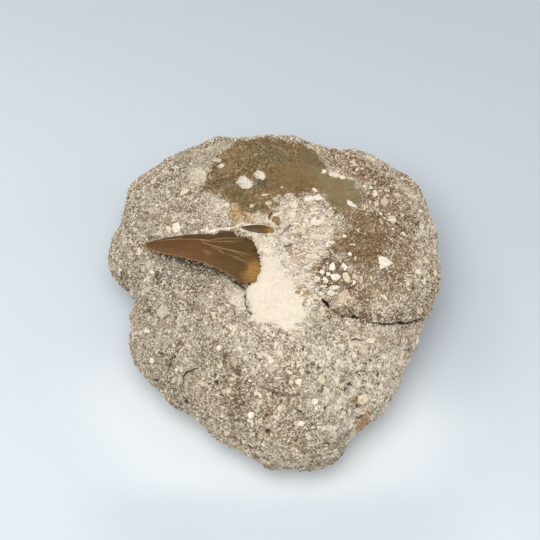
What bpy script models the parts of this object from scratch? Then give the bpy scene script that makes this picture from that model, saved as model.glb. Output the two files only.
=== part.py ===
"""A fossil shark tooth, still bedded in the loose lump of shelly sandstone it was found in.

Run it with blender --background --python part.py, or from the text editor.

Metres, +Z up. The stone stands on the plane Z = 0, with the origin under the middle of its
outline. +X points to the right and +Y to the back, with the tooth's tip towards -X.
The sizes below are in millimetres and degrees, from a point near the stone's middle.
"""

import math
from collections import namedtuple

import bmesh
import bpy
from mathutils import Vector, noise

MM = 0.001
MIDDLE_OF_OUTLINE = (1.5, 1.0)  # from that point, which the parts are moved back by

# The stone: a flattened lump, widest along a rim that rises towards the back.
STONE_TOP = 47.5
RIM_HEIGHT = 21.0
RIM_RISE_TO_BACK = 0.12
RIM_RISE_TO_RIGHT = 0.03
WORN_OFF_BELOW = 1.2  # what the flat spot takes off the round underside
SHOULDER_POWER = 2.5  # 2 is an ellipse, and more is squarer
UNDERSIDE_POWER = 2.0
# Rim radius every 10 degrees, anticlockwise from +X.
RIM_RADII = (
    66, 69.5, 72, 75, 77.5, 76, 73.5, 70.5, 72.5, 72, 71, 75.5,
    75, 75.5, 75.5, 71.5, 70.5, 65, 54.5, 56, 59, 59, 58.5, 57.5,
    57.5, 61, 64.5, 69.5, 71.5, 72.5, 65, 65.5, 63, 61, 61, 63.5,
)  # fmt: skip
STONE_SUBDIVISIONS = 6
STONE_FACES_KEPT = 0.26

# Swellings (+) and hollows (-) of the top: place, half lengths, turn of the first, height.
Lump = namedtuple("Lump", "x y long short turn height")
LUMPS = (
    Lump(44, 2, 20, 13, 10, 2.2),  # lobe above the ledge
    Lump(6, 48, 26, 14, 0, 1.8),  # back shoulder
    Lump(-46, 40, 18, 14, 35, 1.2),  # back left shoulder
    Lump(-62, 17, 8, 9, 0, 1.5),  # left knob
    Lump(-52, 4, 7, 5, 30, -2.5),  # dent under the left knob
    Lump(-14, -38, 14, 6, -62, -5.0),  # gully at the front
    Lump(-37, -24, 17, 13, 20, 2.0),  # swelling left of the gully
    Lump(8, -42, 16, 13, 0, 2.6),  # swelling right of the gully
    Lump(34, -30, 6, 5, 0, -1.6),  # dimple under the ledge
    Lump(46, -36, 12, 7, 50, -2.0),  # scoop at the front right
    Lump(-23, 60, 13, 4, 58, -1.4),  # smooth channel at the back left
    Lump(24, 36, 14, 9, -15, -1.0),  # flat dip behind the tooth
)

# The weathered surface: the height and the wavelength of its unevenness.
COARSE_RELIEF, COARSE_WAVE = 1.5, 19.0
FINE_RELIEF, FINE_WAVE = 0.55, 6.0
# Broken hollows with ridges between them, full below the first height and gone above the second.
SCALLOP_RELIEF, SCALLOP_WAVE = 1.4, 17.0
SCALLOP_HEIGHTS = (22, 36)
# About the tooth the surface is scraped smoother: this near, and down to this height.
SMOOTH_ALONG, SMOOTH_ACROSS, SMOOTH_ABOVE = (-4, 50), 14, 34
SMOOTH_FADE = 6.0
SMOOTH_SHARE = 0.15

# The split under the right lobe, seen from above: it runs out through the rim.
SPLIT_PATH = ((17, -10), (21, -13.5), (28, -18), (35, -20), (42, -21), (48, -20),
              (54, -18), (60, -15), (68, -10))  # fmt: skip
SPLIT_DEPTH = 5.0
SPLIT_WIDTH = 1.3
SPLIT_TAPER = 0.25
LEDGE_DROP = 2.6  # the stone in front of the split lies lower
LEDGE_EDGE = 0.8
LEDGE_REACH = 20.0
LEDGE_STARTS = 0.3  # share of the split's length over which the ledge grows

# The tooth's crown: a blade from the middle of its base to its tip.
BASE_POINT = Vector((-4.7, 4.2, 47.2))
TIP_POINT = Vector((-49.8, 13.9, 40.5))
CROWN_ROLL = 9.0  # how far the near edge is turned up
# Distance along the blade, and the edge's distance across it, to the near side.
FAR_EDGE = ((-3, -8), (0, -10.2), (6, -11.2), (11, -11.4), (14, -13.2), (18, -12.4),
            (21, -11), (30, -9.6), (37, -7.1), (43, -3.9), (46.6, -0.5))  # fmt: skip
NEAR_EDGE = ((-3, 13.5), (0, 14), (4, 12.5), (8, 9.9), (14, 7.2), (19.5, 5.6), (25, 4.5),
             (30, 3.7), (35, 2.8), (41, 2.1), (45.2, 1.1), (46.6, 0.5))  # fmt: skip
# Distance across the blade, and where along it the enamel ends at the root.
ENAMEL_LINE = ((-11, 5), (-7.4, 3.2), (-1.8, 0.4), (1.7, -1.2), (6.3, -2.8), (10, -2.6),
               (14, -1.5))  # fmt: skip
FACE_BULGE = ((-3, 1.5), (4, 1.9), (20, 2.2), (36, 1.6), (46.6, 0.3))
BACK_BULGE = ((-3, 6.0), (4, 6.5), (20, 5.0), (36, 2.6), (46.6, 0.4))
CROWN_STATIONS = 22
CROWN_SIDES = 20

# The stone about the crown: level with its far edge, and hollow under its near one.
BED_ABOVE_FAR_EDGE = 0.4
HOLLOW_DEPTHS = ((-4, 2.0), (6, 5.0), (18, 6.2), (34, 4.8), (46, 2.6), (56, 0.4))
HOLLOW_WIDTH = 10.0  # the least width of the slope down into it
HOLLOW_SHIFT = 0.4
FAR_SLOPE, NEAR_SLOPE, BASE_SLOPE = 0.45, 0.42, 0.9
BASE_SLOPE_STARTS = 3.0
BED_ROUNDING = 1.2

# The side cusp, beside the crown's far edge and sunk in the stone along its far side.
CUSP_BASE = Vector((4.5, 17.6, 44.3))
CUSP_TIP = Vector((-11.6, 19.0, 45.9))
CUSP_HALF_WIDTHS = ((0, 3.6), (5, 3.7), (10, 2.7), (14, 1.2), (16.1, 0.3))
CUSP_BULGE = ((0, 2.3), (5, 2.4), (10, 1.7), (14, 0.8), (16.1, 0.25))
CUSP_ROLL = 20.0
CUSP_SIDES = 16

# The root, from its far lobe to its near one: its middle line from above, half width, half depth.
ROOT_LINE = ((5, 21.5), (2.5, 13.5), (0, 5), (-0.5, -5), (2.5, -14.5), (7.5, -25.5))
ROOT_HALF_WIDTHS = (6.5, 7.5, 9.5, 10.5, 14.0, 14.5)
ROOT_HALF_DEPTHS = (4.5, 6.0, 7.0, 7.0, 6.0, 4.5)
ROOT_STANDS_OUT = 0.7
ENAMEL_STEP = 0.5  # from the root up to the crown's face
COLLAR_REACH = 15.0  # how far from the enamel the root's face takes the crown's height
ROOT_FLATNESS = 0.2  # power of the rounding at its top, where 1 is a ball's
ROOT_SUBDIVISIONS = 4

SOCKET_GAP = 0.35
GROUND_BLOCK = 200.0


def smooth_step(low, high, value):
    """0 below low, 1 above high, and a smooth rise between them."""
    share = min(1.0, max(0.0, (value - low) / (high - low)))
    return share * share * (3 - 2 * share)


def soft_minimum(first, second, blend):
    """The smaller of two heights, with the corner between them rounded."""
    share = min(1.0, max(0.0, 0.5 + (second - first) / (2 * blend)))
    return second + (first - second) * share - blend * share * (1 - share)


def cubic(before, start, end, after, share):
    """A smooth curve from start to end that leaves and arrives along its neighbours' lines."""
    leave = (end - before) / 2
    arrive = (after - start) / 2
    bend = (2 * (start - end) + leave + arrive) * share - 3 * (start - end) - 2 * leave - arrive
    return start + leave * share + bend * share**2


def around(ring, degrees):
    """A closed ring of evenly spaced values, read at an angle."""
    place = degrees / 360 * len(ring)
    index = math.floor(place)
    near = [ring[(index + step) % len(ring)] for step in (-1, 0, 1, 2)]
    return cubic(*near, place - index)


def between(values, share):
    """An open row of evenly spaced values, read at a share of its length."""
    last = len(values) - 1
    place = min(max(share, 0.0), 1.0) * last
    index = min(math.floor(place), last - 1)
    near = [values[min(max(index + step, 0), last)] for step in (-1, 0, 1, 2)]
    return cubic(*near, place - index)


def along(table, distance):
    """A table of (distance, value) rows, read at a distance on straight stretches."""
    for (start, low), (end, high) in zip(table, table[1:]):
        if distance <= end:
            share = max(0.0, (distance - start) / (end - start))
            return low + (high - low) * share
    return table[-1][1]


def blade_axes(base, tip, roll):
    """The unit vectors along a blade, across it to the near side, and out of its face."""
    forward = (tip - base).normalized()
    across = Vector((0, 0, 1)).cross(forward).normalized()
    face = forward.cross(across)
    turn = math.radians(roll)
    return (
        forward,
        across * math.cos(turn) + face * math.sin(turn),
        face * math.cos(turn) - across * math.sin(turn),
    )


CROWN_AXES = blade_axes(BASE_POINT, TIP_POINT, CROWN_ROLL)


def over_crown(x, y):
    """Where a point seen from above lies on the blade: along it, across it, and its height."""
    forward, across, face = CROWN_AXES
    offset = Vector((x, y, BASE_POINT.z)) - BASE_POINT
    offset.z = -offset.dot(face) / face.z
    return offset.dot(forward), offset.dot(across), BASE_POINT.z + offset.z


def bed_height(x, y):
    """Height of the stone about the crown: up to its far edge, and cleared from under the near."""
    distance, side, height = over_crown(x, y)
    far = along(FAR_EDGE, distance)
    near = along(NEAR_EDGE, distance)
    spare = max(0.0, HOLLOW_WIDTH - (near - far))
    share = (side - far + HOLLOW_SHIFT * spare) / (near - far + spare)
    hollow = along(HOLLOW_DEPTHS, distance) * smooth_step(0, 1, share) - BED_ABOVE_FAR_EDGE
    slopes = (
        FAR_SLOPE * max(0.0, far - side)
        + NEAR_SLOPE * max(0.0, side - near - 1)
        + BASE_SLOPE * max(0.0, BASE_SLOPE_STARTS - distance)
    )
    return height - hollow + slopes


def split_place(x, y):
    """Distance from the split, positive in front of it, and the share of its length passed."""
    nearest = (math.inf, 0.0, 0.0)
    for index, (start, end) in enumerate(zip(SPLIT_PATH, SPLIT_PATH[1:])):
        start, line = Vector(start), Vector(end) - Vector(start)
        share = (Vector((x, y)) - start).dot(line) / line.length_squared
        share = min(1.0, max(0.0, share))
        offset = Vector((x, y)) - start - line * share
        side = math.copysign(1.0, line.y * offset.x - line.x * offset.y)
        nearest = min(nearest, (offset.length, side, index + share))
    distance, side, place = nearest
    return distance * side, place / (len(SPLIT_PATH) - 1)


def top_relief(x, y):
    """Swellings, hollows and the ledge of the stone's top."""
    height = 0.0
    for lump in LUMPS:
        turn = math.radians(lump.turn)
        dx, dy = x - lump.x, y - lump.y
        first = (dx * math.cos(turn) + dy * math.sin(turn)) / lump.long
        second = (dy * math.cos(turn) - dx * math.sin(turn)) / lump.short
        height += lump.height * math.exp(-(first**2 + second**2))
    distance, place = split_place(x, y)
    in_front = smooth_step(-LEDGE_EDGE, LEDGE_EDGE, distance)
    fade = 1 - smooth_step(0, LEDGE_REACH, distance)
    return height - LEDGE_DROP * in_front * fade * smooth_step(0, LEDGE_STARTS, place)


def rim_height(x, y):
    return RIM_HEIGHT + RIM_RISE_TO_BACK * y + RIM_RISE_TO_RIGHT * x


def stone_height(x, y):
    """Height of the stone's top at a point seen from above, before its unevenness."""
    radius = around(RIM_RADII, math.degrees(math.atan2(y, x)))
    share = min(1.0, math.hypot(x, y) / radius)
    rise = (1 - share**SHOULDER_POWER) ** (1 / SHOULDER_POWER)
    rim = rim_height(x, y)
    return rim + rise * (STONE_TOP - rim + top_relief(x, y))


def stone_point(direction):
    """The stone's surface in a direction from its middle."""
    power = 2 / (SHOULDER_POWER if direction.z > 0 else UNDERSIDE_POWER)
    rise = abs(direction.z) ** power
    angle = math.atan2(direction.y, direction.x)
    level = math.hypot(direction.x, direction.y)
    radius = around(RIM_RADII, math.degrees(angle)) * level**power
    x, y = radius * math.cos(angle), radius * math.sin(angle)
    rim = rim_height(x, y)
    if direction.z <= 0:
        return Vector((x, y, rim - rise * (rim + WORN_OFF_BELOW)))
    height = rim + rise * (STONE_TOP - rim + top_relief(x, y))
    return Vector((x, y, soft_minimum(height, bed_height(x, y), BED_ROUNDING)))


def unevenness(point):
    """Relief of the weathered surface, broken rougher round the sides and below."""
    coarse = noise.fractal(point / COARSE_WAVE, 0.9, 2.1, 2)
    fine = noise.noise(point / FINE_WAVE)
    distances, _ = noise.voronoi(point / SCALLOP_WAVE)
    scallop = (distances[0] - 0.5) * (1 - smooth_step(*SCALLOP_HEIGHTS, point.z))
    relief = COARSE_RELIEF * coarse + FINE_RELIEF * fine + SCALLOP_RELIEF * scallop

    distance, side, _ = over_crown(point.x, point.y)
    start, end = SMOOTH_ALONG
    away = max(start - distance, distance - end, abs(side) - SMOOTH_ACROSS, SMOOTH_ABOVE - point.z)
    return relief * (SMOOTH_SHARE + (1 - SMOOTH_SHARE) * smooth_step(0, SMOOTH_FADE, away))


def helper(obj):
    obj.hide_render = True
    obj.display_type = "WIRE"
    return obj


def add_object(name, mesh, collection, material=None):
    obj = bpy.data.objects.new(name, mesh)
    if material:
        mesh.materials.append(material)
    collection.objects.link(obj)
    return obj


def mesh_from(bm, name):
    """Makes a mesh of the working one, whose points are in millimetres."""
    bmesh.ops.scale(bm, vec=(MM, MM, MM), verts=bm.verts)
    bmesh.ops.recalc_face_normals(bm, faces=bm.faces)
    mesh = bpy.data.meshes.new(name)
    bm.to_mesh(mesh)
    bm.free()
    return mesh


def stone_mesh():
    """A fine sphere drawn out to the stone's form, and roughened along its normals."""
    bm = bmesh.new()
    bmesh.ops.create_icosphere(bm, subdivisions=STONE_SUBDIVISIONS, radius=1.0)
    for vertex in bm.verts:
        vertex.co = stone_point(vertex.co.normalized())
    bm.normal_update()
    rough = [vertex.co + vertex.normal * unevenness(vertex.co) for vertex in bm.verts]
    for vertex, place in zip(bm.verts, rough):
        vertex.co = place
    return mesh_from(bm, "stone")


def lens(sides):
    """The corners of a lens-shaped section: across it from -1 to 1, and out of it."""
    for index in range(sides):
        turn = 2 * math.pi * index / sides
        side = math.cos(turn)
        yield side, math.copysign(1 - side * side, math.sin(turn))


def loft(name, rings):
    """A closed skin over rings of the same count, with a fan of faces over each end."""
    bm = bmesh.new()
    loops = [[bm.verts.new(point) for point in ring] for ring in rings]
    for here, there in zip(loops, loops[1:]):
        for index in range(len(here)):
            after = (index + 1) % len(here)
            bm.faces.new((here[index], here[after], there[after], there[index]))
    for ring in (loops[0], loops[-1]):
        middle = bm.verts.new(sum((vertex.co for vertex in ring), Vector()) / len(ring))
        for index, vertex in enumerate(ring):
            bm.faces.new((vertex, ring[(index + 1) % len(ring)], middle))
    return mesh_from(bm, name)


def crown_point(progress, side, out, gap):
    """A point of the crown's skin: 0 at the enamel's end to 1 at the tip, across, and out."""
    forward, across, face = CROWN_AXES
    tip = FAR_EDGE[-1][0] + gap
    station = tip * progress
    for _ in range(3):  # settles the station on a section that slants with the enamel's end
        far = along(FAR_EDGE, station) - 2 * gap
        near = along(NEAR_EDGE, station) + 2 * gap
        offset = (far + near) / 2 + side * (near - far) / 2
        start = along(ENAMEL_LINE, offset) - gap
        station = start + (tip - start) * progress
    bulge = along(FACE_BULGE if out > 0 else BACK_BULGE, station) + gap
    return BASE_POINT + forward * station + across * offset + face * bulge * out


def crown_mesh(gap):
    """The crown's blade, from the slanting end of its enamel to the tip."""
    steps = [index / CROWN_STATIONS for index in range(CROWN_STATIONS + 1)]
    corners = list(lens(CROWN_SIDES))
    return loft("crown", [[crown_point(step, *corner, gap) for corner in corners] for step in steps])


def cusp_mesh(gap):
    """The small side cusp, a short blade beside the crown."""
    forward, across, face = blade_axes(CUSP_BASE, CUSP_TIP, CUSP_ROLL)
    rings = []
    for station, half_width in CUSP_HALF_WIDTHS:
        middle = CUSP_BASE + forward * station
        wide = across * (half_width + 2 * gap)
        deep = face * (along(CUSP_BULGE, station) + gap)
        rings.append([middle + wide * side + deep * out for side, out in lens(CUSP_SIDES)])
    return loft("cusp", rings)


def root_top(x, y):
    """Height of the root's visible face, which rises to the crown where the two meet."""
    distance, side, height = over_crown(x, y)
    end = along(ENAMEL_LINE, side)
    far, near = along(FAR_EDGE, end), along(NEAR_EDGE, end)
    from_middle = min(1.0, abs(2 * (side - far) / (near - far) - 1))
    collar = height + along(FACE_BULGE, end) * (1 - from_middle**2) - ENAMEL_STEP
    top = stone_height(x, y) + ROOT_STANDS_OUT
    return top + max(0.0, collar - top) * (1 - smooth_step(0, COLLAR_REACH, end - distance))


def root_mesh(gap):
    """The root, a ball drawn out along its middle line and flattened to the stone's top."""
    line = [Vector(point) for point in ROOT_LINE]
    bm = bmesh.new()
    bmesh.ops.create_icosphere(bm, subdivisions=ROOT_SUBDIVISIONS, radius=1.0)
    for vertex in bm.verts:
        direction = vertex.co.normalized()
        share = (1 - direction.y) / 2
        ahead = between(line, share + 0.02) - between(line, share - 0.02)
        sideways = Vector((-ahead.y, ahead.x)).normalized()
        half_width = between(ROOT_HALF_WIDTHS, share) + gap
        half_depth = between(ROOT_HALF_DEPTHS, share)
        x, y = between(line, share) + sideways * direction.x * half_width
        rise = direction.z**ROOT_FLATNESS if direction.z > 0 else direction.z
        vertex.co = (x, y, root_top(x, y) - half_depth + rise * (half_depth + gap))
    return mesh_from(bm, "root")


def boolean(obj, operation, other):
    modifier = obj.modifiers.new(f"{operation} {other.name}".lower(), "BOOLEAN")
    modifier.operation = operation
    modifier.object = other
    modifier.solver = "EXACT"


def tooth(name, gap, collection, cutters, material=None):
    """The whole tooth in one solid: crown, side cusp and root, grown by a gap."""
    obj = add_object(name, crown_mesh(gap), collection, material)
    for part, mesh in (("root", root_mesh(gap)), ("cusp", cusp_mesh(gap))):
        boolean(obj, "UNION", helper(add_object(f"{name}_{part}", mesh, cutters)))
    return obj


def ground_cutter(cutters):
    """A block that takes the underside off at Z = 0, which leaves the flat spot."""
    bm = bmesh.new()
    bmesh.ops.create_cube(bm, size=GROUND_BLOCK)
    bmesh.ops.translate(bm, verts=bm.verts, vec=(0, 0, -GROUND_BLOCK / 2))
    return helper(add_object("ground_cutter", mesh_from(bm, "ground"), cutters))


def curve(name, points):
    """A curve object of straight runs through its points, given in millimetres."""
    data = bpy.data.curves.new(name, "CURVE")
    data.dimensions = "3D"
    spline = data.splines.new("POLY")
    spline.points.add(len(points) - 1)
    for point, place in zip(spline.points, points):
        point.co = (*(Vector(place) * MM), 1)
    return helper(bpy.data.objects.new(name, data))


def split_cutter(cutters):
    """A thin upright blade of air that follows the split down into the stone."""
    turns = [math.pi * index / 4 for index in range(8)]
    half_width = SPLIT_WIDTH / 2
    section = curve(
        "split_section",
        [(half_width * math.cos(turn), SPLIT_DEPTH * math.sin(turn), 0) for turn in turns],
    )
    section.data.splines[0].use_cyclic_u = True
    path = curve("split_path", [(x, y, stone_height(x, y)) for x, y in SPLIT_PATH])
    path.data.splines[0].points[0].radius = SPLIT_TAPER
    path.data.twist_mode = "Z_UP"
    path.data.bevel_mode = "OBJECT"
    path.data.bevel_object = section
    path.data.use_fill_caps = True
    for obj in (section, path):
        cutters.objects.link(obj)

    evaluated = path.evaluated_get(bpy.context.evaluated_depsgraph_get())
    mesh = bpy.data.meshes.new_from_object(evaluated)
    bm = bmesh.new()
    bm.from_mesh(mesh)
    bmesh.ops.remove_doubles(bm, verts=bm.verts, dist=0.01 * MM)
    bmesh.ops.recalc_face_normals(bm, faces=bm.faces)
    bm.to_mesh(mesh)
    bm.free()
    for obj in (section, path):
        bpy.data.objects.remove(obj)
    return helper(add_object("split_cutter", mesh, cutters))


def new_material(name, colour, roughness):
    material = bpy.data.materials.new(name)
    material.use_nodes = True
    shader = material.node_tree.nodes["Principled BSDF"]
    shader.inputs["Base Color"].default_value = (*colour, 1)
    shader.inputs["Roughness"].default_value = roughness
    shader.inputs["Metallic"].default_value = 0.0
    return material


def new_collection(name):
    collection = bpy.data.collections.new(name)
    bpy.context.scene.collection.children.link(collection)
    return collection


def hold_all_at(location, collection):
    """Parents every object to an empty, which puts the origin under the outline's middle."""
    holder = bpy.data.objects.new("middle_of_outline", None)
    holder.location = location
    for obj in bpy.data.objects:
        if obj is not holder:
            obj.parent = holder
    collection.objects.link(holder)


def main():
    for obj in list(bpy.data.objects):
        bpy.data.objects.remove(obj)
    parts = new_collection("fossil_shark_tooth")
    cutters = new_collection("cutters")
    sandstone = new_material("sandstone", (0.45, 0.38, 0.29), 0.95)
    enamel = new_material("tooth_enamel", (0.24, 0.13, 0.06), 0.35)

    tooth("shark_tooth", 0.0, parts, cutters, enamel)
    stone = add_object("matrix_stone", stone_mesh(), parts, sandstone)
    stone.modifiers.new("fewer faces", "DECIMATE").ratio = STONE_FACES_KEPT
    socket = helper(tooth("socket_cutter", SOCKET_GAP, cutters, cutters))
    for cutter in (ground_cutter(cutters), split_cutter(cutters), socket):
        boolean(stone, "DIFFERENCE", cutter)
    hold_all_at((-MIDDLE_OF_OUTLINE[0] * MM, -MIDDLE_OF_OUTLINE[1] * MM, 0), parts)


main()
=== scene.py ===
"""A fossil shark tooth in its loose lump of shelly sandstone, dressed for a studio picture.

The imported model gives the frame: +X to the right, +Y to the back, +Z up, origin under the middle
of the stone's outline. Lengths in this file are millimetres, and MM turns them into metres where
they enter a mesh, a light or a shader.
"""

from __future__ import annotations

import logging
import math
from dataclasses import dataclass, field
from enum import Enum
from typing import Callable, Iterable, Sequence, Union

import bmesh
import bpy
import numpy as np
from mathutils import Matrix, Vector, noise
from mathutils.bvhtree import BVHTree

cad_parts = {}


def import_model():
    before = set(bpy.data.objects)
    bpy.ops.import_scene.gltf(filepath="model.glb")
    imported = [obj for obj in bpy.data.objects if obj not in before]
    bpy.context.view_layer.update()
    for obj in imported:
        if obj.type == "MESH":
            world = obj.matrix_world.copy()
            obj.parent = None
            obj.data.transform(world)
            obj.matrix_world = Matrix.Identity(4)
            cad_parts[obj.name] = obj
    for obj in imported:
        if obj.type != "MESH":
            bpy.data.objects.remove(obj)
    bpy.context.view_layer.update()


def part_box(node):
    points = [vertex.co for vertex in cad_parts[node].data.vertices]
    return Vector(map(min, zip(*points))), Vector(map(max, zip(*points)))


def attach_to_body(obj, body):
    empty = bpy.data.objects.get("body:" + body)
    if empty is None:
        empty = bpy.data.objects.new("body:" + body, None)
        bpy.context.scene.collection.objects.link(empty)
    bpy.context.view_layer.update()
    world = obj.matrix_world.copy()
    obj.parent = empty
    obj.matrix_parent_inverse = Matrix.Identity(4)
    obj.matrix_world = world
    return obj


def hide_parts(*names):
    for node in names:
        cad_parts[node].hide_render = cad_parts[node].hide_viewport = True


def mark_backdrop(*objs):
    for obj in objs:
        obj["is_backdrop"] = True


MM = 0.001
OUTLINE_MIDDLE = (1.5, 1.0)  # where the outline's middle lies in the stone form's own numbers
BODY = "root"
STONE_NODE, TOOTH_NODE = "matrix_stone", "shark_tooth"
STONE_SLOT, TOOTH_SLOT = "stone", "tooth"

Array = np.ndarray
Socket = bpy.types.NodeSocket
Rgb = tuple[float, float, float]
Colour = Union[Socket, Rgb]
Table = Sequence[tuple[float, float]]
Span = tuple[float, float]  # where a smooth rise starts and ends

log = logging.getLogger("fossil")


def smooth_step(low: float, high: float, value: Array) -> Array:
    """Rise smoothly from 0 below low to 1 above high.

    Args:
        low: Where the rise starts.
        high: Where it ends, below low for a fall.
        value: What is tested.

    Returns:
        The share risen at each value.
    """
    share = np.clip((np.asarray(value, float) - low) / (high - low), 0.0, 1.0)
    return share * share * (3 - 2 * share)


def soft_least(first: Array, second: Array, rounding: float) -> Array:
    """The lesser of two heights, with the change between them rounded.

    Args:
        first: The first heights.
        second: The second.
        rounding: The height over which one passes into the other.

    Returns:
        The rounded lesser heights.
    """
    share = np.clip(0.5 + (second - first) / (2 * rounding), 0.0, 1.0)
    return second + (first - second) * share - rounding * share * (1 - share)


def along(table: Table, distance: Array) -> Array:
    """Read a table of (distance, value) rows on straight stretches."""
    places, values = zip(*table)
    return np.interp(distance, places, values)


def smooth_curve(four: Iterable[Array], share: Array) -> Array:
    """Read a stretch of an evenly spaced row on a smooth curve.

    Args:
        four: The values before the stretch, at its start, at its end and after it.
        share: How far along the stretch to read, 0 to 1.

    Returns:
        The value there.
    """
    before, start, end, after = four
    leave, arrive = (end - before) / 2, (after - start) / 2
    bend = (2 * (start - end) + leave + arrive) * share - 3 * (start - end) - 2 * leave - arrive
    return start + leave * share + bend * share**2


def around(ring: Sequence[float], degrees: Array) -> Array:
    """Read a closed ring of evenly spaced values on a smooth curve.

    Args:
        ring: The values, the first at 0 degrees.
        degrees: Where to read.

    Returns:
        The value at each angle.
    """
    values = np.asarray(ring, float)
    place = np.asarray(degrees) / 360 * len(values)
    index = np.floor(place).astype(int)
    return smooth_curve((values[(index + step) % len(values)] for step in (-1, 0, 1, 2)), place - index)


def between(row: Sequence[float] | Table, share: Array) -> Array:
    """Read an open row of evenly spaced values, or of points, on a smooth curve.

    Args:
        row: The values or points.
        share: Where to read, 0 at the first to 1 at the last.

    Returns:
        The value or point at each share.
    """
    values = np.asarray(row, float)
    last = len(values) - 1
    place = np.clip(share, 0, 1) * last
    index = np.minimum(np.floor(place).astype(int), last - 1)
    part = (place - index)[:, None] if values.ndim > 1 else place - index
    return smooth_curve((values[np.clip(index + step, 0, last)] for step in (-1, 0, 1, 2)), part)


def turned(dx: Array, dy: Array, degrees: float) -> tuple[Array, Array]:
    """Measure steps along and across a direction that is turned from +X."""
    turn = math.radians(degrees)
    return dx * math.cos(turn) + dy * math.sin(turn), dy * math.cos(turn) - dx * math.sin(turn)


def path_distance(x: Array, y: Array, path: Table) -> tuple[Array, ...]:
    """Measure points against a path of straight runs.

    Args:
        x: First coordinates of the points.
        y: Second coordinates of the points.
        path: The path's corners.

    Returns:
        Distance from the path, the side (+1 to the right of its way), and the share passed.
    """
    corners = np.asarray(path, float)
    best = np.full(np.shape(x), np.inf)
    side = np.ones(np.shape(x))
    passed = np.zeros(np.shape(x))
    for index, (start, end) in enumerate(zip(corners, corners[1:])):
        line = end - start
        share = ((x - start[0]) * line[0] + (y - start[1]) * line[1]) / (line @ line)
        share = np.clip(share, 0.0, 1.0)
        dx, dy = x - start[0] - line[0] * share, y - start[1] - line[1] * share
        distance = np.hypot(dx, dy)
        nearer = distance < best
        best = np.where(nearer, distance, best)
        side = np.where(nearer, np.where(line[1] * dx - line[0] * dy >= 0, 1.0, -1.0), side)
        passed = np.where(nearer, (index + share) / (len(corners) - 1), passed)
    return best, side, passed


def sampled(points: Array, function: Callable[[Vector], float]) -> Array:
    """Apply a function of one point, such as a noise, to each row of an array."""
    return np.fromiter((function(Vector(point)) for point in points), float, len(points))


def sampled_grid(first: Array, second: Array, function: Callable[[Vector], float]) -> Array:
    """Apply a function of one point to grids of its first two coordinates, at a height of 0."""
    flat = np.stack([first.ravel(), second.ravel(), first.ravel() * 0], 1)
    return sampled(flat, function).reshape(first.shape)


def linear(red: float, green: float, blue: float) -> Rgb:
    """Turn a colour as a screen names it, 0 to 255, into the shader's linear values."""
    shares = (channel / 255 for channel in (red, green, blue))
    return tuple(s / 12.92 if s <= 0.04045 else ((s + 0.055) / 1.055) ** 2.4 for s in shares)


class Signal:
    """A number in a shader, which Python's operators combine into Math nodes."""

    def __init__(self, bench: NodeBench, socket: Socket) -> None:
        """Keep the socket and the bench that its nodes are made on."""
        self.bench = bench
        self.socket = socket

    def _math(self, operation: str, *values: Signal | float) -> Signal:
        """Add one Math node."""
        node = self.bench.node("ShaderNodeMath", {"operation": operation}, dict(enumerate(values)))
        return Signal(self.bench, node.outputs[0])

    def __add__(self, other: Signal | float) -> Signal:
        """Add."""
        return self._math("ADD", self, other)

    def __sub__(self, other: Signal | float) -> Signal:
        """Subtract."""
        return self._math("SUBTRACT", self, other)

    def __rsub__(self, other: float) -> Signal:
        """Subtract this from a number."""
        return self._math("SUBTRACT", other, self)

    def __mul__(self, other: Signal | float) -> Signal:
        """Multiply."""
        return self._math("MULTIPLY", self, other)

    __radd__ = __add__
    __rmul__ = __mul__

    def most(self, other: Signal | float) -> Signal:
        """The greater of the two."""
        return self._math("MAXIMUM", self, other)

    def rise(self, low: float, high: float, start: float = 0.0, end: float = 1.0) -> Signal:
        """Rise smoothly from start below low to end above high.

        Args:
            low: Where the rise starts.
            high: Where it ends.
            start: The value below low.
            end: The value above high.

        Returns:
            The risen value.
        """
        settings = {"interpolation_type": "SMOOTHSTEP"}
        inputs = {"Value": self, "From Min": low, "From Max": high, "To Min": start, "To Max": end}
        node = self.bench.node("ShaderNodeMapRange", settings, inputs)
        return Signal(self.bench, node.outputs[0])


class NodeBench:
    """Adds nodes to one tree."""

    def __init__(self, tree: bpy.types.NodeTree) -> None:
        """Start on a tree."""
        self.tree = tree

    def node(self, kind: str, settings: dict | None = None, inputs: dict | None = None) -> bpy.types.Node:
        """Add a node.

        Args:
            kind: The node's type.
            settings: Its own settings, or "stops" for a ramp's (place, colour) rows.
            inputs: A value, a Signal or a socket for each input's name or number.

        Returns:
            The node.
        """
        node = self.tree.nodes.new(kind)
        for name, value in (settings or {}).items():
            if name == "stops":
                self._set_stops(node.color_ramp, value)
            else:
                setattr(node, name, value)
        for name, value in (inputs or {}).items():
            for part in value if isinstance(value, list) else [value]:
                source = part.socket if isinstance(part, Signal) else part
                if isinstance(source, Socket):
                    self.tree.links.new(source, node.inputs[name])
                else:
                    node.inputs[name].default_value = source
        return node

    def first(self, kind: str, settings: dict | None = None, inputs: dict | None = None) -> Socket:
        """Add a node and take its first output."""
        return self.node(kind, settings, inputs).outputs[0]

    def vector_math(self, operation: str, inputs: dict) -> Socket:
        """Add a Vector Math node and take its vector."""
        return self.first("ShaderNodeVectorMath", {"operation": operation}, inputs)

    def _set_stops(self, ramp: bpy.types.ColorRamp, stops: Sequence[tuple[float, Rgb]]) -> None:
        """Give a colour ramp its stops.

        Args:
            ramp: The ramp, which starts with two stops.
            stops: The place from 0 to 1 and the colour of each.
        """
        while len(ramp.elements) < len(stops):
            ramp.elements.new(0.5)
        for element, (place, colour) in zip(ramp.elements, stops):
            element.position = place
            element.color = (*colour, 1.0)


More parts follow.
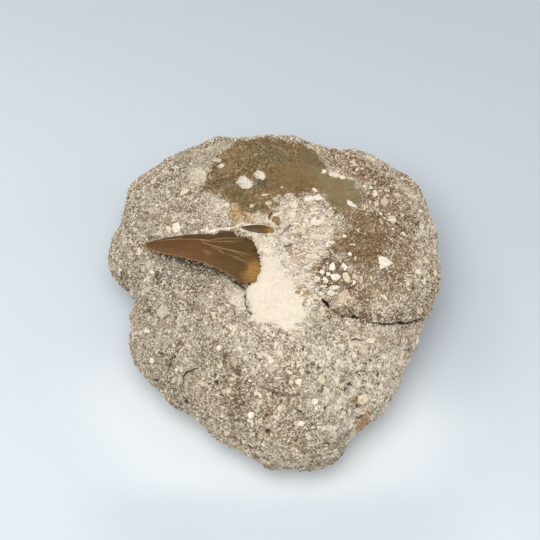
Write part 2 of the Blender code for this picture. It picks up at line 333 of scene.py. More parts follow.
class ShaderBench(NodeBench):
    """Builds one material on Object coordinates."""

    shake_wave: float = 1.4
    shake: float = 0.9  # how far the shaken coordinates stray

    def __init__(self, name: str) -> None:
        """Start an empty material.

        Args:
            name: The material's name.
        """
        self.material = bpy.data.materials.new(name)
        self.material.use_nodes = True
        super().__init__(self.material.node_tree)
        self.tree.nodes.clear()
        self.place = self.node("ShaderNodeTexCoord").outputs["Object"]

    def signal(
        self, kind: str, settings: dict | None = None, inputs: dict | None = None, output: int = 0
    ) -> Signal:
        """Add a node and take one of its outputs as a number."""
        return Signal(self, self.node(kind, settings, inputs).outputs[output])

    def attribute(self, name: str) -> Signal:
        """Read a number that the mesh holds at its points."""
        return self.signal("ShaderNodeAttribute", {"attribute_name": name}, output=2)

    def length(self, vector: Socket) -> Signal:
        """Measure a vector."""
        return self.signal("ShaderNodeVectorMath", {"operation": "LENGTH"}, {0: vector}, output=1)

    def grain(
        self,
        wave: float,
        detail: float = 2.0,
        roughness: float = 0.5,
        place: Socket | None = None,
        output: int = 0,
    ) -> Signal:
        """Read a noise of a wavelength in millimetres, between 0 and 1 about a middle of 0.5.

        Args:
            wave: The wavelength.
            detail: How many finer noises are added.
            roughness: How strong they are.
            place: The coordinates read, the piece's own by default.
            output: 0 for the number, 1 for three of them as a colour.

        Returns:
            The noise.
        """
        inputs = {"Vector": place or self.place, "Scale": 1 / (wave * MM), "Detail": detail}
        return self.signal("ShaderNodeTexNoise", inputs=inputs | {"Roughness": roughness}, output=output)

    def cells(self, wave: float, place: Socket | None = None) -> tuple[Signal, Signal]:
        """Read cells of a width in millimetres.

        Args:
            wave: The width of a cell.
            place: The coordinates read, the piece's own by default.

        Returns:
            The distance from the cell's middle, about 0 to 1, and a number of the cell's own.
        """
        inputs = {"Vector": place or self.place, "Scale": 1 / (wave * MM)}
        node = self.node("ShaderNodeTexVoronoi", inputs=inputs)
        own = self.signal("ShaderNodeSeparateColor", inputs={0: node.outputs["Color"]})
        return Signal(self, node.outputs["Distance"]), own

    def shaken(self) -> Socket:
        """The piece's coordinates, shaken so that cells read there lose their straight edges."""
        inputs = {0: self.grain(self.shake_wave, output=1), 1: (self.shake * MM,) * 3, 2: self.place}
        return self.vector_math("MULTIPLY_ADD", inputs)

    def mix(self, share: Signal | float, below: Colour, above: Colour) -> Socket:
        """Mix two colours.

        Args:
            share: How much of the second shows.
            below: The first colour.
            above: The second.

        Returns:
            The mixed colour's socket.
        """
        first, second = (c if isinstance(c, Socket) else (*c, 1.0) for c in (below, above))
        settings = {"data_type": "RGBA", "blend_type": "MIX", "clamp_factor": True}
        return self.node("ShaderNodeMix", settings, {0: share, 6: first, 7: second}).outputs[2]

    def brighten(self, colour: Socket, amount: Signal) -> Socket:
        """Multiply a colour by a number."""
        return self.vector_math("SCALE", {"Vector": colour, "Scale": amount})

    def finish(
        self, colour: Socket, roughness: Signal | float, height: Signal, depth: float, gloss: float
    ) -> bpy.types.Material:
        """Close the material with a Principled shader.

        Args:
            colour: The base colour.
            roughness: The roughness.
            height: The fine relief.
            depth: The relief's height in millimetres for a change of 1.
            gloss: The strength of the reflection, 0.5 for glass.

        Returns:
            The material.
        """
        bump = {"Strength": 1.0, "Distance": depth * MM, "Height": height}
        inputs = {
            "Base Color": colour,
            "Roughness": roughness,
            "Specular IOR Level": gloss,
            "Normal": self.first("ShaderNodeBump", inputs=bump),
        }
        shader = self.first("ShaderNodeBsdfPrincipled", inputs=inputs)
        self.node("ShaderNodeOutputMaterial", inputs={"Surface": shader})
        return self.material


@dataclass(frozen=True)
class Mottle:
    """Clouds of one colour on another, where a noise passes from one level to another."""

    wave: float
    low: float
    high: float
    strength: float
    colour: Rgb
    detail: float = 3.0
    roughness: float = 0.5

    def lay(self, bench: ShaderBench, below: Colour) -> Socket:
        """Lay the clouds over a colour."""
        share = bench.grain(self.wave, self.detail, self.roughness).rise(self.low, self.high)
        return bench.mix(share * self.strength, below, self.colour)


@dataclass(frozen=True)
class Stain:
    """A small patch of colour on the stone: an ellipse seen from above, with a broken edge."""

    x: float
    y: float
    long: float
    short: float
    turn: float
    colour: Rgb
    strength: float = 1.0
    softness: float = 0.35  # share of its radius over which it fades
    ragged: float = 0.6  # how far the broken edge strays, as a share of its radius
    film: float = 0.0  # how far it hides the grains

    def mask(self, bench: ShaderBench, stray: Signal) -> Signal:
        """How strongly the stain covers a place.

        Args:
            bench: The material's bench.
            stray: The broken edge's noise, about -1 to 1.

        Returns:
            0 outside to its strength inside.
        """
        far = 10.0  # metres, so that height doesn't count
        inputs = {
            "Vector": bench.place,
            "Location": (self.x * MM, self.y * MM, 0),
            "Rotation": (0, 0, math.radians(self.turn)),
            "Scale": (self.long * MM, self.short * MM, far),
        }
        radius = bench.length(bench.first("ShaderNodeMapping", {"vector_type": "TEXTURE"}, inputs))
        edge = radius + stray * self.ragged
        return edge.rise(1 + self.softness, 1 - self.softness, 0.0, self.strength)


@dataclass(frozen=True)
class Zone:
    """A larger patch of colour on the stone, outlined as it is seen from above.

    The outline's corners are millimetres. With a half width it is an open line instead.
    """

    name: str
    outline: Table
    colour: Rgb
    strength: float = 1.0
    softness: float = 1.0  # millimetres over which it fades, on each side of the outline
    ragged: float = 2.0  # millimetres that the broken edge strays
    film: float = 0.0
    half_width: float = 0.0

    def depth(self, points: Array) -> Array:
        """How many millimetres inside the outline points lie.

        Args:
            points: The points, one a row.

        Returns:
            The depth of each, less than 0 outside.
        """
        x, y = points[:, 0], points[:, 1]
        if self.half_width:
            return self.half_width - path_distance(x, y, self.outline)[0]
        closed = [*self.outline, self.outline[0]]
        distance = path_distance(x, y, closed)[0]
        inside = np.zeros(len(x), bool)
        for (x1, y1), (x2, y2) in zip(closed, closed[1:]):
            if y1 != y2:
                inside ^= ((y1 > y) != (y2 > y)) & (x < (x2 - x1) * (y - y1) / (y2 - y1) + x1)
        return np.where(inside, distance, -distance)

    def mask(self, bench: ShaderBench, stray: Signal) -> Signal:
        """How strongly the zone covers a place, from the number that the mesh holds."""
        edge = bench.attribute(self.name) + stray * self.ragged
        return edge.rise(-self.softness, self.softness, 0.0, self.strength)


BROWN = linear(152, 120, 80)
DEEP_BROWN = linear(143, 111, 72)
GREEN = linear(130, 121, 90)
CHALK = linear(249, 238, 219)
WHITE = linear(246, 240, 228)
CREAM = linear(239, 227, 209)
GREY = linear(180, 171, 157)
ORANGE = linear(208, 172, 120)
RUST = linear(200, 160, 118)
PINKISH = linear(212, 194, 172)
UMBER = linear(112, 88, 62)

TINTS: Sequence[Stain | Zone] = (
    Stain(-44, -12, 24, 34, 0, GREY, 0.5, 0.6),
    Stain(-50, 30, 22, 26, 0, GREY, 0.35, 0.6),
    Stain(-4, -33, 24, 9, -4, CHALK, 0.5, 0.6),
    Stain(34, -44, 24, 19, 30, linear(252, 242, 224), 0.95, 0.5),
    Stain(47, -33, 14, 11, 30, linear(246, 232, 214), 0.55, 0.5),
    Stain(-42, 44, 18, 10, 35, CHALK, 0.12, 0.5),
    Stain(-49.6, -3.4, 4.6, 2.4, -50, CHALK, 0.65, 0.5, 0.9),
    Stain(-46, -9.6, 4.2, 2.8, -45, CHALK, 0.6, 0.5, 1.0),
    Stain(-45.2, -0.6, 2.6, 1.5, 20, linear(108, 84, 58), 0.75, 0.5, 1.0),
    Stain(-4, -53, 19, 10, -6, linear(172, 150, 122), 0.5, 0.6),
    Stain(46, 45, 15, 8, -50, linear(182, 160, 132), 0.5, 0.6),
    Stain(-34, 52, 12, 7, 40, linear(182, 168, 148), 0.5, 0.6),
    Zone("brown_right", (
        (20, 64), (31, 60), (40.5, 53), (46.5, 46), (51.5, 37), (55, 25.5), (57, 13.5), (55, 1.5),
        (51, -7), (43, -12), (34, -14.5), (27.5, -12), (27.5, -4.5), (25.5, 6), (23.5, 12), (27, 19),
        (22, 27), (14, 27), (14, 31), (22, 32), (35, 31.5), (36, 39), (29, 44.5), (23, 48.5), (21, 56),
    ), BROWN, 0.6, 2.5, 12.0),
    Zone("brown_deep", (
        (28.0, 19), (31, 24), (36, 25), (41.5, 24), (44, 20.5), (45, 14.5), (43, 7), (40.5, 1.5),
        (35.5, -1.5), (30, 0), (25, 3), (22.8, 7), (22, 11), (24, 16),
    ), DEEP_BROWN, 0.65, 1.5, 9.0, 0.1),
    Zone("brown_stain", (
        (-28.5, 39), (-26.5, 46.5), (-23.5, 53.5), (-19.5, 60), (-14, 64), (-8, 66), (0.5, 66.5), (7, 64),
        (13, 63.5), (18, 59.5), (21, 52), (23, 45.5), (20.5, 38), (20.5, 33.5), (15, 32.8), (10.5, 32),
        (5.5, 33), (2, 30), (2.5, 24), (0, 20.5), (-5, 20), (-11.5, 21), (-14, 24), (-17.5, 29),
        (-22, 32), (-26, 34.5),
    ), linear(157, 131, 93), 0.9, 1.0, 10.0, 0.1),
    Zone("brown_film", (
        (-4.5, 44), (-0.5, 47.5), (4.5, 48.5), (10.5, 52.5), (14.5, 58.5), (17, 52), (20, 43),
        (19.5, 37.5), (15.5, 35), (10.5, 34.5), (4.5, 34.5), (-1.5, 37), (-5.5, 40.5),
    ), linear(135, 111, 75), 0.9, 2.0, 14.0, 0.65),
    Zone("green_left", (
        (-24, 44), (-19, 46), (-16, 39.5), (-11, 33), (-6, 28), (-2, 24), (-7, 22.5), (-11, 24.5),
        (-16.5, 29.5), (-21.5, 33.5),
    ), linear(124, 117, 82), 0.65, 1.5, 12.0, 0.2),
    Zone("green_top", ((-12, 55), (-6, 60), (2.5, 59.5), (7, 54), (6, 48.5), (-1.5, 47.5), (-8, 50)),
         linear(138, 132, 102), 0.75, 1.5, 12.0, 0.25),
    Stain(15, 52, 4, 8, 10, GREEN, 0.6, 0.5, 1.0, 0.4),
    Zone("green_right", (
        (15.5, 47.5), (18.5, 46.5), (23.5, 45), (28.5, 43.5), (33, 41), (35.5, 36.5), (34, 31), (31, 27),
        (26, 25.5), (22.5, 29), (20.5, 32), (19.5, 37.5), (17, 43),
    ), GREEN, 0.95, 0.8, 6.0, 0.9),
    Zone("green_mottle", ((22, 40), (27, 41), (31, 37), (28, 33), (23.5, 34)), BROWN, 0.4, 2.0, 16.0),
    Stain(-4.7, 39.6, 3, 2.6, 0, linear(96, 90, 72), 0.8, 0.5, 0.8, 0.4),
    Zone("chalk", (
        (-10, 24), (-4.5, 25), (2, 26), (5.5, 32), (14.5, 31), (22.5, 27), (25, 23), (23.5, 16), (20, 9),
        (18.5, 1), (17, -7.5), (18.5, -13), (14.5, -21), (10, -28.5), (4, -26.5), (-7, -24), (-10.5, -16),
        (-10.5, -10.5), (-7, -8), (-4.5, 0.5), (-7, 9.5), (-10, 16.5),
    ), CHALK, 0.85, 1.2, 8.0),
    Zone("pale_left", (
        (-28.5, 35), (-23, 31.5), (-18, 28), (-13.5, 23.5), (-12, 20.5), (-19.5, 18.5), (-26, 18),
        (-27.5, 22), (-26, 26.5), (-28, 31),
    ), CHALK, 0.85, 1.0, 7.0, 0.2),
    Stain(-15.2, 24, 2.8, 4.2, 25, ORANGE, 0.9, 0.6, 0.6, 0.3),
    Stain(-10.5, 22, 3.8, 2.0, 0, ORANGE, 0.5, 0.6, 0.8, 0.2),
    Zone("cheek", (
        (-18.5, -1), (-14.5, -4), (-10.5, -10), (-10.5, -16), (-9.5, -20.5), (-13, -21), (-16, -16.5),
        (-19, -11),
    ), CHALK, 0.95, 1.2, 5.0, 0.4),
    Zone("channel", (
        (-15.5, 64.5), (-22, 64.5), (-27.5, 59.5), (-31.5, 54.5), (-32.5, 47.5), (-31.5, 41),
        (-28.5, 41.5), (-27, 49), (-23, 57), (-17, 60.5),
    ), linear(200, 190, 168), 0.9, 1.0, 5.0, 0.5),
    Stain(-30.3, 43.5, 3.6, 4.6, 10, linear(222, 212, 192), 0.9, 0.15, 0.6, 0.55),
    Zone("white_disc", (
        (-15, 39), (-14, 42), (-11.6, 43), (-9.5, 41), (-8.3, 41.2), (-8.7, 38), (-11, 36.5), (-13.5, 37),
    ), WHITE, 0.9, 0.4, 2.5, 0.7),
    Zone("white_blob", ((-8.7, 43.2), (-6.7, 45.2), (-4.7, 44.3), (-3.5, 42), (-5, 40.8), (-6.3, 41.8)),
         CHALK, 0.9, 0.4, 3.0, 0.4),
    Zone("white_patch", (
        (11.3, 32.3), (13.7, 33.4), (16, 32.5), (17.7, 33.9), (20, 32), (20.2, 30.6), (16.8, 31),
        (14, 30.2), (12, 30.6),
    ), WHITE, 0.95, 0.35, 2.0, 0.85),
    Zone("white_drop", ((15, 36.5), (16.4, 36.8), (17.6, 35.6), (17.2, 34.4), (16, 34.8)),
         WHITE, 0.95, 0.3, 1.5, 0.7),
    Zone("white_angle", ((29.2, 31), (30.5, 30.6), (32.8, 28.8), (33.2, 27.4), (30.6, 27.6), (29.4, 29)),
         WHITE, 0.9, 0.3, 1.5, 0.8),
    Stain(-22.6, 52.2, 1.5, 1.1, 0, WHITE, 0.9, 0.25, 1.0, 0.6),
    Stain(-21.5, 49.2, 1.6, 1.0, 30, WHITE, 0.9, 0.25, 1.0, 0.6),
    Zone("white_curve", (
        (14, 63), (16.5, 60), (19.5, 55), (21.5, 50), (22.5, 46), (20, 45.2), (22.5, 44.3), (27, 43.3),
        (32, 41.8),
    ), CHALK, 0.85, 0.3, 4.0, 0.3, 0.5),
    Zone("pale_band", ((35, 61), (40.5, 56), (47.5, 48.5), (52.5, 42), (56, 37)),
         CHALK, 0.75, 1.2, 8.0, 0.1, 2.2),
    Zone("below_split", (
        (31, -22), (38, -24.5), (46, -24), (54, -20), (59, -17), (58, -23), (52, -27), (42.5, -31),
        (35, -30),
    ), PINKISH, 0.65, 2.0, 8.0, 0.2),
    Zone("lower_chunk", (
        (16.5, -63.4), (16.4, -59.9), (21, -57.2), (24.1, -53.9), (23.7, -51.6), (26.8, -49.1),
        (31.1, -47.2), (34.5, -47.7), (35.7, -49.3), (40.5, -46.2), (45, -44.5), (44, -49), (39.5, -53.5),
        (34, -58), (29.9, -62), (27, -64.5), (22.9, -66),
    ), linear(255, 245, 224), 0.95, 0.8, 5.0, 0.1),
    # painted shade: the lower-left valley darkened where shade falls in it
    Zone("gully", ((-20.5, -36), (-17.1, -38.2), (-14.4, -41.8), (-13.4, -48.5), (-14.3, -56)),
         linear(108, 92, 70), 0.75, 2.5, 6.0, 0.35, 1.8),
    # painted shadow: the stone darkened under the crown's near edge, where the crown shades it
    Zone("crown_gap", (
        (-43, 9.3), (-37.6, 7.2), (-32.6, 5.7), (-28.5, 4.4), (-24.5, 2.7), (-20.4, 0), (-16.3, -3.5),
        (-12.8, -7.9), (-10.6, -11.8),
    ), linear(74, 62, 46), 0.85, 0.9, 2.5, 0.3, 0.8),
    # painted shadow: a wider soft darkening of the stone under the crown's near edge
    Stain(-29, 3.4, 10, 2.6, -20, linear(112, 98, 78), 0.55, 0.6),
    # brown stain with painted shade along the lip over the split
    Zone("split_lip", (
        (24, -17.5), (30, -18.6), (36, -19.4), (42, -19.6), (48, -18.4), (54, -15.4), (59, -11.5),
    ), linear(104, 82, 55), 0.85, 1.0, 3.0, 0.25, 1.0),
    Stain(35, -54.6, 3.8, 2.2, 42, RUST, 0.95, 0.4, 1.0, 0.3),
    Stain(30.5, -50.4, 2.8, 1.2, 30, RUST, 0.75, 0.5, 1.0, 0.2),
    Stain(25.5, -64.8, 4.0, 2.0, 45, UMBER, 0.6, 0.6, 0.6, 0.1),
    Stain(27.6, -43.3, 2.4, 2.4, 0, UMBER, 0.65, 0.6, 0.6, 0.2),
    Zone("cluster", (
        (14, -1.5), (17, 1), (22.5, 3), (28, 1), (29.5, -3), (30, -7), (27.5, -10), (24, -10.5),
        (20, -8.5), (16, -8.5), (13.5, -6),
    ), linear(138, 106, 74), 0.7, 1.0, 5.0),
    Stain(28.5, -9.6, 3.5, 1.3, 45, linear(112, 76, 48), 0.8, 0.4, 0.9),
    Stain(10.3, -12.2, 2.0, 1.0, 0, linear(150, 112, 72), 0.8, 0.4, 0.9),
    Zone("wedge", ((18, 6.5), (21, 7.3), (25, 5.4), (23.3, 3.3), (18.7, 3.7)),
         linear(158, 128, 92), 0.7, 0.6, 3.0),
    Zone("cream", (
        (-4, 8), (-1.5, 5), (1, 1), (3.5, -2), (6, -6), (7.5, -9.5), (9.5, -13.5), (11.5, -18),
        (13.5, -21.5), (13, -24.5), (10, -27), (6, -28), (0.5, -27), (-2.5, -25.5), (-6, -23.5),
        (-8.5, -20.5), (-9.5, -16.5), (-10, -11.5), (-9.5, -9.5), (-6.5, -7.5), (-5, -1.5), (-5.5, 4.5),
    ), CREAM, 0.95, 1.8, 9.0, 0.95),
    Zone("neck", (
        (-13.5, 18.5), (-8.5, 20), (-4.5, 20), (-4, 13), (-4, 7), (-7, 8), (-8, 12), (-10, 15),
        (-13.5, 17),
    ), CREAM, 0.8, 0.8, 2.0, 0.7),
    Zone("rim_line", (
        (-27, 17.4), (-21.5, 18.6), (-16.5, 19), (-13, 19.6), (-8, 19.9), (-3, 19.2), (0.5, 16.5),
    ), WHITE, 0.95, 0.25, 0.6, 0.9, 0.4),
)  # fmt: skip
ZONES = {tint.name: tint for tint in TINTS if isinstance(tint, Zone)}


def zone_share(name: str, points: Array, softness: float = 1.0) -> Array:
    """How far points lie in a zone, 0 outside to 1 inside."""
    return smooth_step(-softness, softness, ZONES[name].depth(points))


@dataclass(frozen=True)
class SandstoneFinish:
    """Shelly sandstone: coloured grains, pores and stains."""

    sand: Rgb = linear(234, 221, 199)
    speck: Rgb = linear(252, 247, 236)
    vein: Rgb = linear(112, 82, 46)
    pore: Rgb = linear(90, 64, 36)
    tan: Rgb = linear(190, 158, 120)
    # painted shade: the dark laid into the split, the cracks, the gaps about the shells and the pits
    painted_crack_shade: Rgb = linear(56, 41, 27)
    mottles: Sequence[Mottle] = (
        Mottle(14.0, 0.35, 0.65, 0.6, linear(220, 199, 167)),
        Mottle(5.6, 0.5, 0.75, 0.6, linear(204, 193, 173)),
        Mottle(4.2, 0.52, 0.62, 0.8, linear(242, 230, 210), 4.0, 0.62),
        Mottle(4.2, 0.46, 0.36, 0.7, linear(176, 152, 120), 4.0, 0.62),
    )
    tints_start: Span = (9.0, 16.0)  # heights over which the tints come in
    stray_wave: float = 5.0
    finer_stray: float = 0.35  # wave and strength of the broken edges' finer part, as shares
    dusted: Sequence[tuple[str, Span, float]] = (  # zone, its depths, how many light specks it hides
        ("brown_stain", (-1.0, 2.0), 0.85),
        ("brown_deep", (-2.0, 2.0), 0.5),
        ("green_right", (-1.0, 1.0), 0.85),
    )
    grain_wave: float = 0.9
    grain_contrast: float = 0.34
    dust_wave: float = 0.5
    light_dust: Span = (0.82, 0.85)
    dark_dust: Span = (0.23, 0.19)
    vein_waves: tuple[float, float] = (1.1, 0.5)
    vein_widths: tuple[Span, Span] = ((0.0009, 0.0002), (0.0010, 0.0002))  # for the noise squared
    narrow_veins: float = 0.8
    patch_wave: float = 3.1
    lull_wave: float = 10.0
    lull: float = 0.65  # how strong veins and specks are in the calmer parts
    on_chalk: float = 0.6
    streak_turn: float = 12.0  # degrees that the chalk's streaks rise to the right
    streak_stretch: float = 0.3
    streaks: Sequence[tuple[float, Span, float, Rgb]] = (  # wave, cells' numbers, strength, colour
        (3.6, (0.6, 0.75), 0.5, tan),
        (3.6, (0.45, 0.3), 0.75, speck),
        (1.4, (0.7, 0.8), 0.6, tan),
        (1.4, (0.32, 0.2), 0.6, speck),
    )
    chalk_edge: Span = (-1.0, 2.0)
    film_shows: float = 0.12  # how much of the grains shows through a full film

    def tone(self, bench: ShaderBench) -> tuple[Socket, Signal, Signal]:
        """The stone's colour before its grains, and how far the grains show.

        Args:
            bench: The material's bench.

        Returns:
            The colour's socket, 1 where the grains are bare to 0 under a film, and 1 where they
            are clean to less where they are stained.
        """
        colour: Colour = self.sand
        for mottle in self.mottles:
            colour = mottle.lay(bench, colour)
        fine_stray = bench.grain(self.stray_wave * self.finer_stray, 4.0, 0.62) * 2.0 - 1.0
        stray = bench.grain(self.stray_wave, 5.0, 0.62) * 2.0 - 1.0 + fine_stray * self.finer_stray
        height = bench.signal("ShaderNodeSeparateXYZ", inputs={0: bench.place}, output=2)
        upper = height.rise(*(level * MM for level in self.tints_start))
        bare = None
        for tint in TINTS:
            mask = tint.mask(bench, stray if isinstance(tint, Zone) else fine_stray) * upper
            colour = bench.mix(mask, colour, tint.colour)
            if tint.film:
                shows = 1.0 - mask * tint.film
                bare = shows if bare is None else bare * shows
        stained = None
        for zone, edge, share in self.dusted:
            hidden = bench.attribute(zone).rise(*edge) * share
            stained = hidden if stained is None else stained.most(hidden)
        return colour, bare, 1.0 - stained * upper

    def speckle(
        self, bench: ShaderBench, colour: Socket, bare: Signal, clean: Signal, strength: float = 1.0
    ) -> tuple[Socket, Signal]:
        """Lay fine brown veins and light and dark specks over a colour.

        Args:
            bench: The material's bench.
            colour: What they lie on.
            bare: How far they show.
            clean: How far the light ones show.
            strength: How far they all show on this material.

        Returns:
            The colour's socket, and how deep the veins and dark specks are.
        """
        place = bench.shaken()
        _, own = bench.cells(self.dust_wave, place)
        broad, narrow = (bench.grain(wave, 3.0, 0.6, place) - 0.5 for wave in self.vein_waves)
        patchy = bench.grain(self.patch_wave, 3.0, 0.6).rise(0.35, 0.6, 0.3, 1.0)
        broad, narrow = (part * part for part in (broad, narrow))
        narrow = narrow.rise(*self.vein_widths[1]) * self.narrow_veins
        veins = broad.rise(*self.vein_widths[0]).most(narrow) * patchy
        lulls = bench.grain(self.lull_wave).rise(0.36, 0.64, self.lull * strength, strength)
        show = (bare * 0.9 + 0.1) * lulls
        show = show * bench.attribute("chalk").rise(*self.chalk_edge, 1.0, self.on_chalk)
        colour = bench.mix(own.rise(*self.light_dust) * show * clean, colour, self.speck)
        dark = own.rise(*self.dark_dust) * patchy.rise(0.2, 0.7, 0.55, 1.0)
        colour = bench.mix(dark * show * 0.95, colour, self.pore)
        return bench.mix(veins * show * 0.9, colour, self.vein), veins.most(dark) * show

    def material(self) -> bpy.types.Material:
        """Build the stone's own material.

        Returns:
            The material.
        """
        bench = ShaderBench("sandstone")
        colour, bare, clean = self.tone(bench)
        contrast = bare * (1 - self.film_shows) + self.film_shows
        place = bench.shaken()
        dome, own = bench.cells(self.grain_wave, place)
        turn = (0, 0, math.radians(-self.streak_turn))
        stretch = {"Vector": place, "Rotation": turn, "Scale": (self.streak_stretch, 1, 1)}
        stretched = bench.first("ShaderNodeMapping", inputs=stretch)
        chalky = bench.attribute("chalk").rise(*self.chalk_edge) * contrast
        for wave, numbers, strength, shade in self.streaks:
            _, streak = bench.cells(wave, stretched)
            colour = bench.mix(streak.rise(*numbers) * chalky * strength, colour, shade)
        colour = bench.brighten(colour, (own - 0.5) * self.grain_contrast * contrast + 1.0)
        colour, grooves = self.speckle(bench, colour, bare, clean)
        # painted shade darkens the split, the cracks, the shell gaps and the pits
        colour = bench.mix(bench.attribute("crack"), colour, self.painted_crack_shade)
        return bench.finish(colour, 0.92, (1.0 - dome - grooves) * contrast, depth=0.3, gloss=0.06)


@dataclass(frozen=True)
class GrainFinish:
    """Loose-looking sand and shell pieces: the stone's colour, each piece in its own tone."""

    name: str
    darkest: float
    lightest: float
    brown_share: float  # how brown the darkest pieces are
    own_colour: Rgb
    own_share: float  # how much of its own colour every piece has, beside the lightest ones
    speckled: float = 1.0  # how far the stone's veins and specks cross it
    relief_wave: float = 0.6
    light_tones: Span = (0.7, 0.85)
    brown_tones: Span = (0.16, 0.08)
    film_shows: float = 0.15

    def material(self, stone: SandstoneFinish) -> bpy.types.Material:
        """Build the material.

        Args:
            stone: The finish of the stone that the pieces lie in.

        Returns:
            The material, which reads each piece's tone from the mesh.
        """
        bench = ShaderBench(self.name)
        colour, bare, clean = stone.tone(bench)
        tone = bench.attribute("tone")
        show = bare * (1 - self.film_shows) + self.film_shows
        pale = (tone.rise(*self.light_tones) * (1.0 - self.own_share) + self.own_share) * show * clean
        colour = bench.mix(pale, colour, self.own_colour)
        level = tone * (self.lightest - self.darkest) + self.darkest
        colour = bench.brighten(colour, (level - 1.0) * show + 1.0)
        colour = bench.mix(tone.rise(*self.brown_tones) * show * self.brown_share, colour, stone.vein)
        colour, _ = stone.speckle(bench, colour, bare, clean, self.speckled)
        return bench.finish(colour, 0.9, bench.grain(self.relief_wave), depth=0.12, gloss=0.08)


class ShellTone(Enum):
    """What a bedded piece is coloured like, as its place on the tone scale."""

    BROWN = 0.0
    GREY = 0.2
    TAN = 0.4
    PINK = 0.6
    CREAMY = 0.8
    WHITE = 1.0


@dataclass(frozen=True)
class ShellFinish:
    """Shell plates and pebbles, whose colour goes by their place on the tone scale."""

    stops: Sequence[tuple[ShellTone, Rgb]] = (
        (ShellTone.BROWN, linear(140, 114, 84)),
        (ShellTone.GREY, linear(203, 191, 170)),
        (ShellTone.TAN, linear(212, 176, 136)),
        (ShellTone.PINK, linear(216, 198, 178)),
        (ShellTone.CREAMY, linear(228, 214, 190)),
        (ShellTone.WHITE, linear(243, 235, 220)),
    )
    freckles: Mottle = Mottle(1.1, 0.5, 0.66, 0.6, linear(164, 136, 102), 4.0, 0.7)
    grain_wave: float = 0.8
    grain_contrast: float = 0.24
    relief_wave: float = 0.9

    def material(self) -> bpy.types.Material:
        """Build the material, which reads each piece's tone from the mesh.

        Returns:
            The material.
        """
        bench = ShaderBench("bedded_shell")
        stops = [(tone.value, colour) for tone, colour in self.stops]
        colour = bench.first("ShaderNodeValToRGB", {"stops": stops}, {0: bench.attribute("tone")})
        _, own = bench.cells(self.grain_wave)
        colour = self.freckles.lay(bench, colour)
        colour = bench.brighten(colour, (own - 0.5) * self.grain_contrast + 1.0)
        return bench.finish(colour, 0.8, bench.grain(self.relief_wave, 3.0), depth=0.16, gloss=0.15)


@dataclass(frozen=True)
class EnamelFinish:
    """Fossil enamel: brown gloss with growth lines, pale hairline cracks and an amber base."""

    name: str
    brown: Rgb = linear(104, 70, 35)
    olive: Rgb = linear(92, 68, 33)
    dark: Rgb = linear(80, 54, 26)
    amber: Rgb = linear(156, 116, 56)
    red: Rgb = linear(176, 120, 56)
    pale: Rgb = linear(204, 174, 130)
    black: Rgb = linear(56, 40, 25)
    olive_within: Span = (24.0, 8.0)  # distances along the blade from its base
    olive_share: float = 0.8
    line_wave: float = 0.9
    line_stretch: float = 0.045  # width of the growth lines as a share of their length
    line_contrast: float = 0.9
    cloud_wave: float = 4.0
    cloud_share: float = 0.35
    ripple_wave: float = 2.2

    def material(self) -> bpy.types.Material:
        """Build the enamel, which reads its marks from the mesh.

        Returns:
            The material.
        """
        bench = ShaderBench(self.name)
        place = bench.first("ShaderNodeUVMap", {"uv_map": "blade"})
        stretch = {"Vector": place, "Scale": (self.line_stretch, 1.0, 1.0)}
        lines = bench.grain(self.line_wave, 4.0, 0.65, bench.first("ShaderNodeMapping", inputs=stretch))
        clouds = bench.grain(self.cloud_wave, 4.0, 0.6)
        distance = bench.signal("ShaderNodeSeparateXYZ", inputs={0: place})
        base = distance.rise(*(reach * MM for reach in self.olive_within))
        colour = bench.mix(base * self.olive_share, self.brown, self.olive)
        colour = bench.mix(bench.attribute("band"), colour, self.dark)
        colour = bench.mix(clouds.rise(0.4, 0.65) * self.cloud_share, colour, self.dark)
        amber = bench.attribute("amber") * ((lines - 0.5) * 1.6 + clouds.rise(0.62, 0.35) * 0.6 + 0.7)
        colour = bench.mix(amber.rise(0.05, 0.9), colour, self.amber)
        colour = bench.brighten(colour, (lines - 0.5) * self.line_contrast + 1.0)
        for mark, own in (("red", self.red), ("dark_end", self.black), ("pale", self.pale)):
            colour = bench.mix(bench.attribute(mark), colour, own)
        roughness = lines * 0.2 + bench.attribute("pale") * 0.3 + 0.34
        relief = lines + bench.grain(self.ripple_wave) * 0.6
        return bench.finish(colour, roughness, relief, depth=0.05, gloss=0.32)


@dataclass(frozen=True)
class RootFinish:
    """The root's dull chalky bone."""

    freckles: Mottle = Mottle(0.8, 0.5, 0.75, 0.3, linear(226, 206, 172), 3.0, 0.65)
    grain_contrast: float = 0.5
    chalk_wave: float = 1.1
    # painted shade for cracks, which the root's mesh leaves at 0
    painted_crack_shade: Rgb = linear(52, 42, 32)

    def material(self, stone: SandstoneFinish) -> bpy.types.Material:
        """Build the material, which passes into the stone's stains at its edge.

        Args:
            stone: The finish of the stone about it.

        Returns:
            The material.
        """
        bench = ShaderBench("root_bone")
        ground, bare, clean = stone.tone(bench)
        dome, own = bench.cells(stone.grain_wave)
        colour = self.freckles.lay(bench, ground)
        shade = (own - 0.5) * self.grain_contrast * (bare * 0.9 + 0.06) + 1.0
        colour, grooves = stone.speckle(bench, bench.brighten(colour, shade), bare, clean)
        # painted shade in cracks
        colour = bench.mix(bench.attribute("crack"), colour, self.painted_crack_shade)
        height = bench.grain(self.chalk_wave, 4.0, 0.6) + (1.0 - dome - grooves) * (bare * 0.9 + 0.1)
        return bench.finish(colour, 0.9, height, depth=0.16, gloss=0.15)


